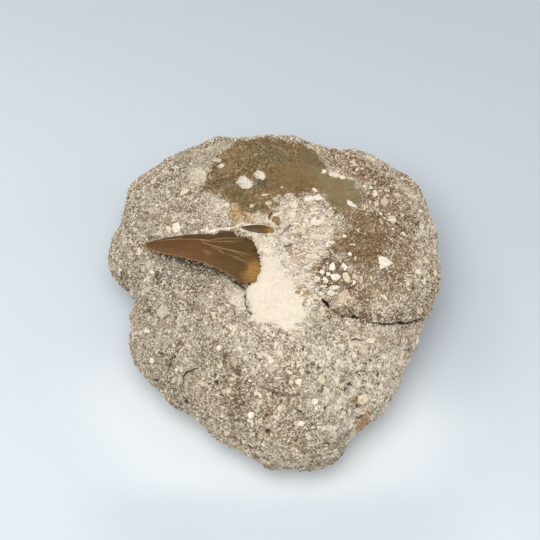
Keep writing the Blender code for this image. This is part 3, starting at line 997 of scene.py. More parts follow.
@dataclass(frozen=True)
class FloorFinish:
    """A plain pale studio surface, with painted light fall-off that makes it a little darker to the back
    right.
    """

    near: Rgb = linear(221, 230, 241)
    far: Rgb = linear(195, 205, 216)
    front: Rgb = linear(240, 248, 254)  # painted light, lifting the floor in front of the stone out of its shadow
    # painted shadow below and beside the stone
    shade: Rgb = linear(190, 200, 212)

    def material(self) -> bpy.types.Material:
        """Build the floor's material, whose bare spans are metres about the stone.

        Returns:
            The material.
        """
        bench = ShaderBench("studio_paper")
        axes = bench.node("ShaderNodeSeparateXYZ", inputs={0: bench.place})
        x, y = Signal(bench, axes.outputs[0]), Signal(bench, axes.outputs[1])
        reach = bench.length(bench.place)
        # painted light fall-off: darker to the back right
        colour = bench.mix((x * 0.45 + y).rise(-0.10, 0.22), self.near, self.far)
        # painted light: the floor lifted in front of the stone
        colour = bench.mix(reach.rise(0.105, 0.07) * y.rise(0.0, -0.05) * 0.75, colour, self.front)
        # painted shade: the floor darkened below the stone, where the overhead light pools
        below = y.rise(-0.065, -0.085) * (x * x).rise(0.008, 0.0005) * 0.4
        colour = bench.mix(below, colour, self.shade)
        # painted shadow: the floor darkened to the right of the stone
        beside = x.rise(0.045, 0.07) * reach.rise(0.108, 0.08) * y.rise(-0.06, -0.02) * 0.5
        colour = bench.mix(beside, colour, self.shade)
        return bench.finish(colour, 0.8, bench.grain(0.6), depth=0.01, gloss=0.2)


@dataclass(frozen=True)
class Blade:
    """A tooth's blade, measured along it from its base, across it and out of its face."""

    base: Rgb
    tip: Rgb
    roll: float
    far_edge: Table
    near_edge: Table
    enamel_line: Table
    face_bulge: Table
    back_bulge: Table

    def axes(self) -> tuple[Array, Array, Array]:
        """Find the blade's directions.

        Returns:
            The unit vectors along it, across it to the near side, and out of its face.
        """
        forward = (Vector(self.tip) - Vector(self.base)).normalized()
        across = Vector((0, 0, 1)).cross(forward).normalized()
        face = forward.cross(across)
        turn = math.radians(self.roll)
        rolled = across * math.cos(turn) + face * math.sin(turn)
        out = face * math.cos(turn) - across * math.sin(turn)
        return np.array(forward), np.array(rolled), np.array(out)

    def over(self, x: Array, y: Array) -> tuple[Array, Array, Array]:
        """Where points seen from above lie on the blade.

        Args:
            x: First coordinates.
            y: Second coordinates.

        Returns:
            The distance along it, across it, and the height of its middle plane.
        """
        forward, across, face = self.axes()
        dx, dy = x - self.base[0], y - self.base[1]
        dz = -(dx * face[0] + dy * face[1]) / face[2]
        distance = dx * forward[0] + dy * forward[1] + dz * forward[2]
        side = dx * across[0] + dy * across[1] + dz * across[2]
        return distance, side, self.base[2] + dz

    def station(self, progress: Array, side: Array) -> tuple[Array, Array]:
        """Settle where a point lies on sections that slant with the enamel's end.

        Args:
            progress: 0 at the enamel's end to 1 at the tip.
            side: -1 at the far edge to 1 at the near one.

        Returns:
            The distance along the blade and across it.
        """
        tip = self.far_edge[-1][0]
        station = tip * progress
        for _ in range(4):
            far, near = along(self.far_edge, station), along(self.near_edge, station)
            offset = (far + near) / 2 + side * (near - far) / 2
            start = along(self.enamel_line, offset)
            station = start + (tip - start) * progress
        return station, offset

    def from_enamel_end(self, station: Array, offset: Array) -> Array:
        """How far past the enamel's end points of the blade lie."""
        return station - along(self.enamel_line, offset)

    def bulge(self, station: Array, out: Array) -> Array:
        """How far the blade's middle stands out, + on its face and - on its back."""
        return np.where(out > 0, along(self.face_bulge, station), -along(self.back_bulge, station))

    def skin(self, name: str, station: Array, offset: Array, rise: Array) -> bpy.types.Mesh:
        """Make a mesh over rings of points.

        Args:
            name: The mesh's name.
            station: Distance along the blade.
            offset: Distance across it.
            rise: Distance out of its middle plane.

        Returns:
            The mesh, with the first two in metres as its own map.
        """
        forward, across, face = self.axes()
        points = (
            np.asarray(self.base)
            + station[..., None] * forward
            + offset[..., None] * across
            + rise[..., None] * face
        )
        points[..., :2] -= OUTLINE_MIDDLE
        mesh = grid_skin(name, points)
        along_it, across_it = (
            np.append(values.ravel(), [values[0].mean(), values[-1].mean()]) for values in (station, offset)
        )
        corners = np.empty(len(mesh.loops), np.int32)
        mesh.loops.foreach_get("vertex_index", corners)
        pairs = np.stack([along_it[corners], across_it[corners]], 1) * MM
        layer = mesh.uv_layers.new(name="blade")
        layer.data.foreach_set("uv", pairs.astype(np.float32).ravel())
        return mesh


CROWN = Blade(
    base=(-4.7, 4.2, 47.2),
    tip=(-49.8, 13.9, 40.5),
    roll=9.0,
    far_edge=(
        (-3, -8), (5.6, -10), (6.8, -10.8), (8.9, -10.4), (10.9, -10.3), (12.2, -11.8), (13.5, -12.6),
        (16, -12.1), (18.5, -11.4), (19.2, -10.5), (20.3, -9.9), (22.7, -9.8), (28, -8.8), (32, -7.7),
        (35.8, -6.4), (39.4, -4.9), (42.4, -3.3), (44.6, -1.9), (46.6, -0.3),
    ),
    near_edge=(
        (-3, 14), (1, 14.1), (4.1, 12.6), (6.9, 11), (10.1, 9.4), (13.3, 7.9), (16, 6.9), (19, 6),
        (22.8, 5.2), (26.2, 4.5), (29.6, 3.9), (33, 3.6), (36.2, 3.3), (39.7, 2.8), (43.1, 2),
        (45.4, 1.2), (46.6, 0.4),
    ),
    enamel_line=(
        (-10, 5.6), (-8.5, 4.7), (-7.2, 3.4), (-5, 1.9), (-2.8, 1), (-2.6, 2.4), (-1.7, 2.3), (-1.5, 0.6),
        (-0.2, -0.4), (2.7, -1.5), (5.6, -2.6), (7.5, -2.9), (9.7, -2), (12.4, -2.2), (12.8, -1.0),
        (13, 0.3), (14.1, 1),
    ),
    face_bulge=((-3, 1.5), (4, 1.9), (20, 2.2), (36, 1.6), (44, 0.8), (46.6, 0.25)),
    back_bulge=((-3, 6.0), (4, 6.5), (20, 5.0), (36, 2.6), (44, 1.1), (46.6, 0.3)),
)  # fmt: skip

CUSP = Blade(
    base=(4.5, 17.9, 44.3),
    tip=(-11.6, 19.0, 45.9),
    roll=20.0,
    far_edge=(
        (3, -0.6), (3.3, -1.3), (4.5, -2.0), (6.5, -2.6), (9, -2.7), (12, -2.0), (14.5, -0.9),
        (16.1, -0.1),
    ),
    near_edge=((3, 0.6), (3.3, 1.2), (4.5, 1.8), (6.5, 2.3), (9, 2.5), (12, 1.9), (14.5, 0.9), (16.1, 0.1)),
    enamel_line=((-4, 3), (4, 3)),
    face_bulge=((3, 0.5), (4, 1.1), (6, 1.5), (10, 1.4), (14, 0.7), (16.1, 0.15)),
    back_bulge=((3, 1.2), (6, 2.2), (10, 1.7), (14, 0.8), (16.1, 0.2)),
)


@dataclass(frozen=True)
class Lump:
    """A swelling (+) or a hollow (-), seen from above."""

    x: float
    y: float
    long: float
    short: float
    turn: float
    height: float

    def rise(self, x: Array, y: Array) -> Array:
        """Height that it adds at points seen from above."""
        first, second = turned(x - self.x, y - self.y, self.turn)
        return self.height * np.exp(-((first / self.long) ** 2 + (second / self.short) ** 2))


@dataclass
class StoneForm:
    """The lump's form, in its own numbers: a flattened ball, widest along a rim."""

    top: float = 47.5
    rim: float = 21.0
    rim_rise_to_back: float = 0.12
    rim_rise_to_right: float = 0.03
    worn_off_below: float = 1.2
    shoulder_power: float = 2.5
    underside_power: float = 2.0
    rim_radii: Sequence[float] = (
        66, 69.5, 72, 75, 77.5, 76, 73.5, 70.5, 72.5, 72, 71, 75.5,
        75, 75.5, 75.5, 71.5, 70.5, 65, 54.5, 56, 59, 59, 58.5, 57.5,
        57.5, 61, 64.5, 69.5, 71.5, 72.5, 65, 65.5, 63, 61, 61, 63.5,
    )  # fmt: skip
    lumps: Sequence[Lump] = (
        Lump(44, 2, 20, 13, 10, 2.2),
        Lump(6, 48, 26, 14, 0, 1.8),
        Lump(-46, 40, 18, 14, 35, 1.2),
        Lump(-62, 17, 8, 9, 0, 1.5),
        Lump(-52, 4, 7, 5, 30, -2.5),
        Lump(-14, -38, 14, 6, -62, -5.0),
        Lump(-37, -24, 17, 13, 20, 2.0),
        Lump(8, -42, 16, 13, 0, 2.6),
        Lump(34, -30, 6, 5, 0, -1.6),
        Lump(46, -36, 12, 7, 50, -2.0),
        Lump(-23, 60, 13, 4, 58, -1.4),
        Lump(-13, -47, 13, 3.4, 84, -1.8),
        Lump(24, 36, 14, 9, -15, -1.0),
    )
    split_path: Table = (
        (17, -9.5), (20, -12.8), (22.5, -15), (27, -17.5), (30.5, -18.3), (36.5, -19), (40.5, -19.4),
        (44.3, -19.2), (47.8, -18.6), (51, -17.5), (54.4, -15.9), (57.3, -14.3), (60.4, -12), (64, -8.5),
        (68, -4),
    )  # fmt: skip
    ledge_drop: float = 2.6
    ledge_reach: float = 20.0
    bed_above_far_edge: float = 0.4
    hollow_depths: Table = ((-4, 2.0), (6, 5.0), (18, 6.2), (34, 4.8), (46, 2.6), (56, 0.4))
    hollow_width: float = 10.0
    slopes: tuple[float, float, float] = (0.45, 0.42, 0.9)  # beyond the far edge, the near, the base
    bed_rounding: float = 1.2
    spare_beyond_far: float = 0.4  # share of the hollow's spare width that lies past the far edge
    bed_margin: float = 1.0  # level ground beside the near edge
    base_end: float = 3.0  # distance along the crown where the ground behind it rises
    cusp_bed: Span = (2.0, 16.1)  # distances along the cusp that lie bare
    cusp_bed_rounding: float = 0.4
    cusp_sunk: float = 0.2
    cusp_slope: float = 0.55
    relief: tuple[float, float, float] = (1.6, 0.8, 1.6)  # coarse, fine, and broken hollows
    waves: tuple[float, float, float] = (19.0, 6.0, 17.0)
    scallop_heights: Span = (22.0, 36.0)
    cleared: tuple[Span, float, float] = ((-4.0, 50.0), 14.0, 34.0)  # along the crown, beside it, height
    cleared_unevenness: float = 0.15
    cleared_edge: float = 6.0
    nicks: Sequence[tuple[float, float, float]] = (  # degrees about the middle, width in degrees, height
        (14, 6, -0.7), (64, 3, 1.0), (84.5, 3, -3.2), (109, 4, -1.6), (119.5, 3, -1.7), (155.5, 3.5, -4.8),
        (174, 3, -2.6), (184.6, 1.8, -2.0), (188.5, 3, 2.0), (204, 3, -0.7), (212, 3, -0.8),
        (217, 3, -0.6), (257.8, 3, -1.3), (269, 3, 1.0), (295, 4, -1.2), (300, 3, -0.7), (307, 4, -1.3),
        (350.8, 3, -1.9),
    )  # fmt: skip

    def rim_height(self, x: Array, y: Array) -> Array:
        """Height of the rim's tilted plane."""
        return self.rim + self.rim_rise_to_back * y + self.rim_rise_to_right * x

    def top_relief(self, x: Array, y: Array) -> Array:
        """Swellings, hollows and the ledge in front of the split.

        Args:
            x: First coordinates of points seen from above.
            y: Second coordinates.

        Returns:
            The height that they add.
        """
        height = sum(lump.rise(x, y) for lump in self.lumps)
        distance, side, passed = path_distance(x, y, self.split_path)
        signed = distance * side
        in_front = smooth_step(-0.8, 0.8, signed) * (1 - smooth_step(0, self.ledge_reach, signed))
        return height - self.ledge_drop * in_front * smooth_step(0, 0.3, passed)

    def height(self, x: Array, y: Array) -> Array:
        """Height of the top, before the bed and the unevenness.

        Args:
            x: First coordinates of points seen from above.
            y: Second coordinates.

        Returns:
            The height at each.
        """
        radius = around(self.rim_radii, np.degrees(np.arctan2(y, x)))
        share = np.minimum(1.0, np.hypot(x, y) / radius)
        rise = (1 - share**self.shoulder_power) ** (1 / self.shoulder_power)
        rim = self.rim_height(x, y)
        return rim + rise * (self.top - rim + self.top_relief(x, y))

    def bed_height(self, x: Array, y: Array) -> Array:
        """Height of the stone about the crown: up to its far edge, and cleared under the near.

        Args:
            x: First coordinates of points seen from above.
            y: Second coordinates.

        Returns:
            The height at each.
        """
        distance, side, height = CROWN.over(x, y)
        far = along(CROWN.far_edge, distance)
        near = along(CROWN.near_edge, distance)
        spare = np.maximum(0.0, self.hollow_width - (near - far))
        share = (side - far + self.spare_beyond_far * spare) / (near - far + spare)
        hollow = along(self.hollow_depths, distance) * smooth_step(0, 1, share)
        beyond_far, beyond_near, behind_base = self.slopes
        slopes = (
            beyond_far * np.maximum(0.0, far - side)
            + beyond_near * np.maximum(0.0, side - near - self.bed_margin)
            + behind_base * np.maximum(0.0, self.base_end - distance)
        )
        return height - hollow + self.bed_above_far_edge + slopes

    def cusp_bed_height(self, x: Array, y: Array) -> Array:
        """Height of the stone about the cusp, level with the cusp's edges.

        Args:
            x: First coordinates of points seen from above.
            y: Second coordinates.

        Returns:
            The height at each.
        """
        distance, side, height = CUSP.over(x, y)
        start, tip = self.cusp_bed
        half = along(CUSP.near_edge, distance)
        beyond = [np.abs(side) - half, distance - tip, start - distance, np.zeros_like(x)]
        return height - self.cusp_sunk + self.cusp_slope * np.maximum.reduce(beyond)

    def points(self, directions: Array) -> Array:
        """The surface in each direction from the lump's middle.

        Args:
            directions: Unit vectors, one a row.

        Returns:
            The points, one a row.
        """
        x, y, z = directions.T
        power = 2 / np.where(z > 0, self.shoulder_power, self.underside_power)
        rise = np.abs(z) ** power
        angle = np.arctan2(y, x)
        radius = around(self.rim_radii, np.degrees(angle)) * np.hypot(x, y) ** power
        x, y = radius * np.cos(angle), radius * np.sin(angle)
        rim = self.rim_height(x, y)
        below = rim - rise * (rim + self.worn_off_below)
        above = rim + rise * (self.top - rim + self.top_relief(x, y))
        bedded = soft_least(above, self.bed_height(x, y), self.bed_rounding)
        bedded = soft_least(bedded, self.cusp_bed_height(x, y), self.cusp_bed_rounding)
        return np.stack([x, y, np.where(z > 0, bedded, below)], axis=1)

    def calm(self, points: Array) -> Array:
        """How much of the unevenness there is: less where the tooth was cleaned out.

        Args:
            points: Points of the surface, one a row.

        Returns:
            The share at each.
        """
        distance, side, _ = CROWN.over(points[:, 0], points[:, 1])
        (start, end), beside, lowest = self.cleared
        away = [start - distance, distance - end, np.abs(side) - beside, lowest - points[:, 2]]
        left = self.cleared_unevenness
        return left + (1 - left) * smooth_step(0, self.cleared_edge, np.maximum.reduce(away))

    def unevenness(self, points: Array) -> Array:
        """The weathered surface's main relief, rougher round the sides and below.

        Args:
            points: Points of the surface, one a row.

        Returns:
            How far each is moved outward.
        """
        coarse = sampled(points / self.waves[0], lambda p: noise.fractal(p, 0.9, 2.1, 2))
        fine = sampled(points / self.waves[1], noise.noise)
        hollows = sampled(points / self.waves[2], lambda p: noise.voronoi(p)[0][0]) - 0.5
        low = 1 - smooth_step(*self.scallop_heights, points[:, 2])
        relief = self.relief[0] * coarse + self.relief[1] * fine + self.relief[2] * hollows * low
        angle = np.degrees(np.arctan2(points[:, 1], points[:, 0])) % 360
        outline = sum(rise * np.exp(-(((angle - at) / width) ** 2)) for at, width, rise in self.nicks)
        return relief * self.calm(points) + outline * low


@dataclass(frozen=True)
class Crack:
    """A thin crack in the stone, a path seen from above."""

    path: Table
    width: float
    depth: float
    # how much painted shade darkens the inside
    painted_shade: float = 0.9


@dataclass
class MatrixStone:
    """The stone about the tooth, with its split, cracks, pits and weathered skin."""

    form: StoneForm = field(default_factory=StoneForm)
    subdivisions: int = 7
    fine_above: float = 0.36  # height of the directions above which the skin is finer
    split_line: Table = (
        (18.4, -14.6), (20.9, -16.9), (22.2, -17.8), (25.7, -19.4), (29, -20.1), (35, -20.8), (39, -21.2),
        (42.8, -21), (46.3, -20.4), (49.6, -19.3), (52.9, -17.7), (55.8, -16.1), (58.9, -13.8),
        (62.5, -10.3), (66.5, -6),
    )  # fmt: skip
    split_depth: float = 1.8
    split_widths: Table = (
        (0, 0.4), (0.04, 0.9), (0.1, 0.7), (0.16, 0.2), (0.22, 0.5), (0.3, 0.35), (0.5, 0.4), (0.7, 0.4),
        (1, 0.5),
    )  # fmt: skip
    # how much painted shade darkens the split along its way
    split_painted_shade: Table = (
        (0, 1.0), (0.12, 1.0), (0.2, 0.6), (0.3, 0.7), (0.5, 0.55), (0.7, 0.75), (1, 0.55),
    )  # fmt: skip
    cracks: Sequence[Crack] = (
        Crack((
            (-35.6, -43.2), (-34.8, -41.9), (-34.9, -40.9), (-33.5, -40.1), (-32.3, -40.4),
            (-28.9, -39.3),
        ), 0.5, 1.4),
        Crack(((-41.1, -38.8), (-40.3, -36.9), (-39.2, -36.2)), 0.4, 0.8),
        Crack(((-47.9, -35.7), (-46.2, -37.2), (-45.0, -38.0)), 0.4, 0.7),
        Crack((
            (-6, -48.9), (-3, -50.4), (0.4, -52), (3.4, -52.9), (6.7, -53.1), (9.7, -52.5),
        ), 0.8, 0.5, 0.35),
        Crack(((3.2, -44.2), (5.0, -45.6), (6.6, -46.3)), 0.5, 0.7),
        Crack(((7.5, -57.0), (9.3, -58.0), (10.8, -58.2)), 0.45, 0.7),
        Crack(((-10.5, -12.9), (-11.0, -14.0), (-10.6, -15.4)), 0.8, 1.2),
        Crack((
            (-10.6, -15.9), (-11.0, -17.2), (-10.2, -18.3), (-10.3, -19.4), (-9.5, -20.6),
        ), 0.45, 0.9, 0.75),
        Crack(((-15.6, -4.5), (-13.1, -7.4), (-10.4, -11.2)), 0.5, 0.8, 0.8),
        Crack(((29.5, -29.2), (31.5, -28.6), (34.0, -29.4)), 0.5, 0.6),
        Crack(((1.6, 12.3), (3.2, 15.2), (6.4, 19.2), (8.0, 20.9)), 0.45, 0.4),
        Crack(((2.6, 9.4), (4.7, 7.8), (6.3, 9.0), (8.5, 10.4)), 0.45, 0.4),
        Crack(((-1.9, 19.9), (-1.7, 23.5), (-0.7, 25.3), (1.3, 24.2)), 0.5, 0.8),
    )
    crack_reach: float = 0.9  # how far from a crack the skin is finer still
    moat_width: float = 0.5
    moat_depth: float = 0.5
    plain_moat: float = 0.35  # how deep a gap is outside the cluster, as a share
    pits: tuple[tuple[float, float], ...] = ((9.0, 3.6), (4.5, 1.7))  # depth and width of a cell
    honeycomb: Lump = Lump(32, -54, 10, 8, 0, 2.5)  # where there are more pits
    lower_heights: Span = (26.0, 40.0)  # the skin is rougher below them
    marks_start: Span = (14.0, 18.0)  # heights over which cracks and gaps come in
    wander_wave: float = 2.6
    kink_wave: float = 0.9
    crack_stray: float = 0.3
    skin_relief: float = 0.34
    skin_wave: float = 2.8
    lowered: float = 0.14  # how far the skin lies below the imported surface, twice that low down
    smooth_zones: Sequence[tuple[str, float]] = (
        ("cream", 0.85), ("brown_film", 0.6), ("green_right", 0.6), ("channel", 0.6), ("cheek", 0.3),
        ("neck", 0.7), ("below_split", 0.3),
    )  # fmt: skip
    raised_zones: Sequence[tuple[str, float]] = (
        ("white_patch", 0.6), ("white_disc", 0.5), ("white_blob", 0.5), ("white_drop", 0.5),
        ("white_angle", 0.6), ("white_curve", 0.4), ("lower_chunk", 0.9), ("split_lip", 0.4),
    )  # fmt: skip

    def _skin(self) -> bmesh.types.BMesh:
        """Make a ball whose faces are finer above, and finest along the cracks.

        Returns:
            The ball, of radius 1.
        """
        ball = bmesh.new()
        bmesh.ops.create_icosphere(ball, subdivisions=self.subdivisions, radius=1.0)
        refine(ball, lambda vertex: vertex.co.z > self.fine_above)
        for reach in (self.crack_reach, self.crack_reach * 0.7):
            for vertex in ball.verts:
                vertex.co.normalize()
            near = self._near_cracks(np.array([v.co for v in ball.verts]), reach)
            refine(ball, lambda vertex: near[vertex.index])
            ball.verts.index_update()
        for vertex in ball.verts:
            vertex.co.normalize()
        return ball

    def _near_cracks(self, directions: Array, reach: float) -> Array:
        """Find the directions that meet the surface near a crack or the split.

        Args:
            directions: Unit vectors, one a row.
            reach: How near.

        Returns:
            Whether each does.
        """
        x, y, _ = (self.form.points(directions) - (*OUTLINE_MIDDLE, 0)).T
        paths = (self.split_line, *(crack.path for crack in self.cracks))
        nearest = np.minimum.reduce([path_distance(x, y, path)[0] for path in paths])
        return (nearest < reach) & (directions[:, 2] > 0)

    def _pits(self, points: Array) -> Array:
        """Dig the small holes that lost shells and grains have left.

        Args:
            points: Points of the surface, one a row.

        Returns:
            The holes' depth at each.
        """

        def hole(point: Vector) -> float:
            """How deep a hole is there, as a share of its cell."""
            distances, places = noise.voronoi(point)
            return max(0.0, 0.34 - distances[0]) * max(0.0, noise.noise(places[0] * 3.7))

        more = self.honeycomb.rise(points[:, 0], points[:, 1])
        low = 1 - smooth_step(30, 42, points[:, 2])
        (large, large_wave), (small, small_wave) = self.pits
        large = large * (1.0 + more + 0.6 * low) * sampled(points / large_wave, hole)
        return large + small * (1.0 + more) * sampled(points / small_wave + 7.0, hole)

    def _roughness(self, points: Array) -> Array:
        """How rough the skin is: 1, more low down and less on smooth films.

        Args:
            points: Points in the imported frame's millimetres, one a row.

        Returns:
            The roughness at each.
        """
        smooth = sum(zone_share(name, points) * share for name, share in self.smooth_zones)
        low = 1 - smooth_step(*self.lower_heights, points[:, 2])
        return (1 + 0.7 * low) * (1 - np.clip(smooth, 0, 0.85))

    def _grooves(self, points: Array) -> tuple[Array, Array]:
        """Cut the split and the cracks.

        Args:
            points: Points of the surface, one a row.

        Returns:
            The depth at each, and how much painted shade darkens it inside.
        """
        flat = points * (1, 1, 0)
        wander = sampled(flat / self.wander_wave, noise.noise)
        kinks = sampled(flat / self.kink_wave, lambda p: noise.fractal(p, 0.8, 2.0, 2))
        x, y = points[:, 0] - OUTLINE_MIDDLE[0], points[:, 1] - OUTLINE_MIDDLE[1]
        distance, side, passed = path_distance(x, y, self.split_line)
        half = along(self.split_widths, passed) / 2 * (1 + 0.3 * sampled(flat / 1.7, noise.noise))
        inside = 1 - smooth_step(-0.12, 0.15, np.abs(distance * side + 0.18 * wander) - half)
        depth = self.split_depth * inside
        dark = inside * along(self.split_painted_shade, passed)
        for crack in self.cracks:
            strayed = (x + self.crack_stray * kinks, y + self.crack_stray * wander)
            distance, _, passed = path_distance(*strayed, crack.path)
            swell = 0.3 + 1.2 * np.sqrt(np.clip(passed * (1 - passed) * 4, 0, 1))
            half = crack.width / 2 * swell * (1 + 0.6 * wander)
            inside = 1 - smooth_step(0.2, 1.0, distance / half)
            depth = np.maximum(depth, crack.depth * inside)
            dark = np.maximum(dark, inside * crack.painted_shade)
        above = smooth_step(*self.marks_start, points[:, 2])
        return depth * above, dark * above

    def _moats(self, points: Array) -> Array:
        """Open the gaps about the bedded shells.

        Args:
            points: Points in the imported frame's millimetres, one a row.

        Returns:
            How deep each lies in a gap, 0 to 1.
        """
        deepest = np.zeros(len(points))
        for shell in BeddedShells.shells:
            first, second = turned(points[:, 0] - shell.x, points[:, 1] - shell.y, shell.turn)
            ring = np.hypot(first / shell.length, second / shell.width)
            beyond = (ring - 0.48) * min(shell.length, shell.width)
            in_cluster = zone_share("cluster", np.array([[shell.x, shell.y, 0]]))
            share = self.plain_moat + (1 - self.plain_moat) * in_cluster
            deepest = np.maximum(deepest, smooth_step(self.moat_width, 0.1, beyond) * share)
        return deepest * smooth_step(*self.marks_start, points[:, 2])

    def build(self) -> bpy.types.Object:
        """Make the stone's mesh.

        Returns:
            The stone's object, with the numbers that its finish and its grains read.
        """
        ball = self._skin()
        directions = np.array([vertex.co for vertex in ball.verts])
        mesh = bmesh_mesh("stone_body", ball)
        points = self.form.points(directions)
        put_points(mesh, points)
        points = points + point_normals(mesh) * self.form.unevenness(points)[:, None]
        put_points(mesh, points)

        normals = point_normals(mesh)
        in_frame = points - (*OUTLINE_MIDDLE, 0)
        rough = self._roughness(in_frame) * (0.3 + 0.7 * self.form.calm(points))
        pits = self._pits(points) * rough
        skin = sampled(points / self.skin_wave, lambda p: noise.fractal(p, 0.7, 2.2, 3))
        depth, dark = self._grooves(points)
        moat = self._moats(in_frame)
        broken = smooth_step(-0.35, 0.3, sampled(points / 1.3, noise.noise))
        # painted shade darkens the gaps about the shells, in broken patches
        depth, dark = np.maximum(depth, moat * self.moat_depth), np.maximum(dark, moat * broken * 0.6)
        ragged = skin[:, None] * (1.2, -0.9, 0) - (*OUTLINE_MIDDLE, 0)
        raised = sum(zone_share(name, points + ragged, 0.4) * height for name, height in self.raised_zones)
        lowered = self.lowered * (2 - smooth_step(*self.lower_heights, points[:, 2]))
        drop = depth - raised + pits + (lowered - self.skin_relief * skin) * rough
        # painted shade darkens the deeper pits
        dark = np.maximum(dark, smooth_step(0.35, 1.0, pits) * 0.7)
        points = points - normals * drop[:, None]
        points[:, :2] -= OUTLINE_MIDDLE
        put_points(mesh, inside_box(points, STONE_NODE))
        mesh.shade_smooth()
        # the painted shade of the split, cracks, gaps and pits, read by the finishes
        put_numbers(mesh, "crack", dark)
        mark_zones(mesh)
        return add_object("stone_body", mesh)


def refine(ball: bmesh.types.BMesh, chosen: Callable[[bmesh.types.BMVert], bool]) -> None:
    """Halve the edges whose two ends are chosen, and keep every face a triangle.

    Args:
        ball: The mesh.
        chosen: Tells whether a vertex is.
    """
    edges = [edge for edge in ball.edges if all(chosen(vertex) for vertex in edge.verts)]
    bmesh.ops.subdivide_edges(ball, edges=edges, cuts=1, use_grid_fill=True)
    bmesh.ops.triangulate(ball, faces=[face for face in ball.faces if len(face.verts) > 3])


def bmesh_mesh(name: str, made: bmesh.types.BMesh) -> bpy.types.Mesh:
    """Turn an editable mesh into a plain one.

    Args:
        name: The new mesh's name.
        made: The editable mesh, which is freed.

    Returns:
        The new mesh.
    """
    mesh = bpy.data.meshes.new(name)
    made.to_mesh(mesh)
    made.free()
    return mesh


def point_normals(mesh: bpy.types.Mesh) -> Array:
    """Read a mesh's normals.

    Args:
        mesh: The mesh.

    Returns:
        The normal at each of its points, one a row.
    """
    normals = np.empty(len(mesh.vertices) * 3, np.float32)
    mesh.update()
    mesh.vertex_normals.foreach_get("vector", normals)
    return normals.reshape(-1, 3).astype(float)


def mesh_points(mesh: bpy.types.Mesh) -> Array:
    """Read a mesh's points.

    Args:
        mesh: The mesh.

    Returns:
        Its points in millimetres, one a row.
    """
    points = np.empty(len(mesh.vertices) * 3, np.float32)
    mesh.vertices.foreach_get("co", points)
    return points.reshape(-1, 3).astype(float) / MM


def put_points(mesh: bpy.types.Mesh, points: Array) -> None:
    """Move the mesh's points to rows of millimetres."""
    mesh.vertices.foreach_set("co", (points * MM).astype(np.float32).ravel())
    mesh.update()


def put_numbers(mesh: bpy.types.Mesh, name: str, values: Array) -> None:
    """Store a number at each of the mesh's points."""
    attribute = mesh.attributes.get(name) or mesh.attributes.new(name, "FLOAT", "POINT")
    attribute.data.foreach_set("value", values.astype(np.float32))


def mark_zones(mesh: bpy.types.Mesh, reach: float = 12.0) -> None:
    """Store how deep in each zone every point of a mesh lies.

    Args:
        mesh: The mesh.
        reach: The greatest depth stored, inside or outside.
    """
    points = mesh_points(mesh)
    for name, zone in ZONES.items():
        put_numbers(mesh, name, np.clip(zone.depth(points), -reach, reach))


def inside_box(points: Array, node: str) -> Array:
    """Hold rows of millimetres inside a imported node's box."""
    low, high = (np.array(corner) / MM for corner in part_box(node))
    return np.clip(points, low, high)


def add_object(name: str, mesh: bpy.types.Mesh) -> bpy.types.Object:
    """Put a mesh in the scene at the origin.

    Args:
        name: The object's name.
        mesh: Its mesh.

    Returns:
        The object.
    """
    obj = bpy.data.objects.new(name, mesh)
    bpy.context.scene.collection.objects.link(obj)
    return obj


def dress(obj: bpy.types.Object, material: bpy.types.Material) -> bpy.types.Object:
    """Give an object one material.

    Args:
        obj: The object.
        material: The material.

    Returns:
        The same object.
    """
    obj.data.materials.clear()
    obj.data.materials.append(material)
    return obj


def attach(obj: bpy.types.Object, slot: str, *replaced: str) -> None:
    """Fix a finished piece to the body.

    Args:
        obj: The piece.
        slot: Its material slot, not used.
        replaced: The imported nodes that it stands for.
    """
    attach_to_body(obj, BODY)
    if replaced:
        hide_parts(*replaced)
    count = sum(len(polygon.vertices) - 2 for polygon in obj.data.polygons)
    log.info("%s: %d triangles", obj.name, count)


class GrainShape(Enum):
    """What a scattered piece starts from."""

    CRYSTAL = "GeometryNodeMeshCube"
    PLATE = "GeometryNodeMeshCylinder"

    @property
    def sizes(self) -> dict[str, object]:
        """The inputs of its node, for a piece about 1 wide.

        Returns:
            A value for each input's name.
        """
        if self is GrainShape.CRYSTAL:
            return {"Size": (0.8, 0.8, 0.8)}
        return {"Vertices": 6, "Side Segments": 1, "Fill Segments": 1, "Radius": 0.5, "Depth": 0.8}


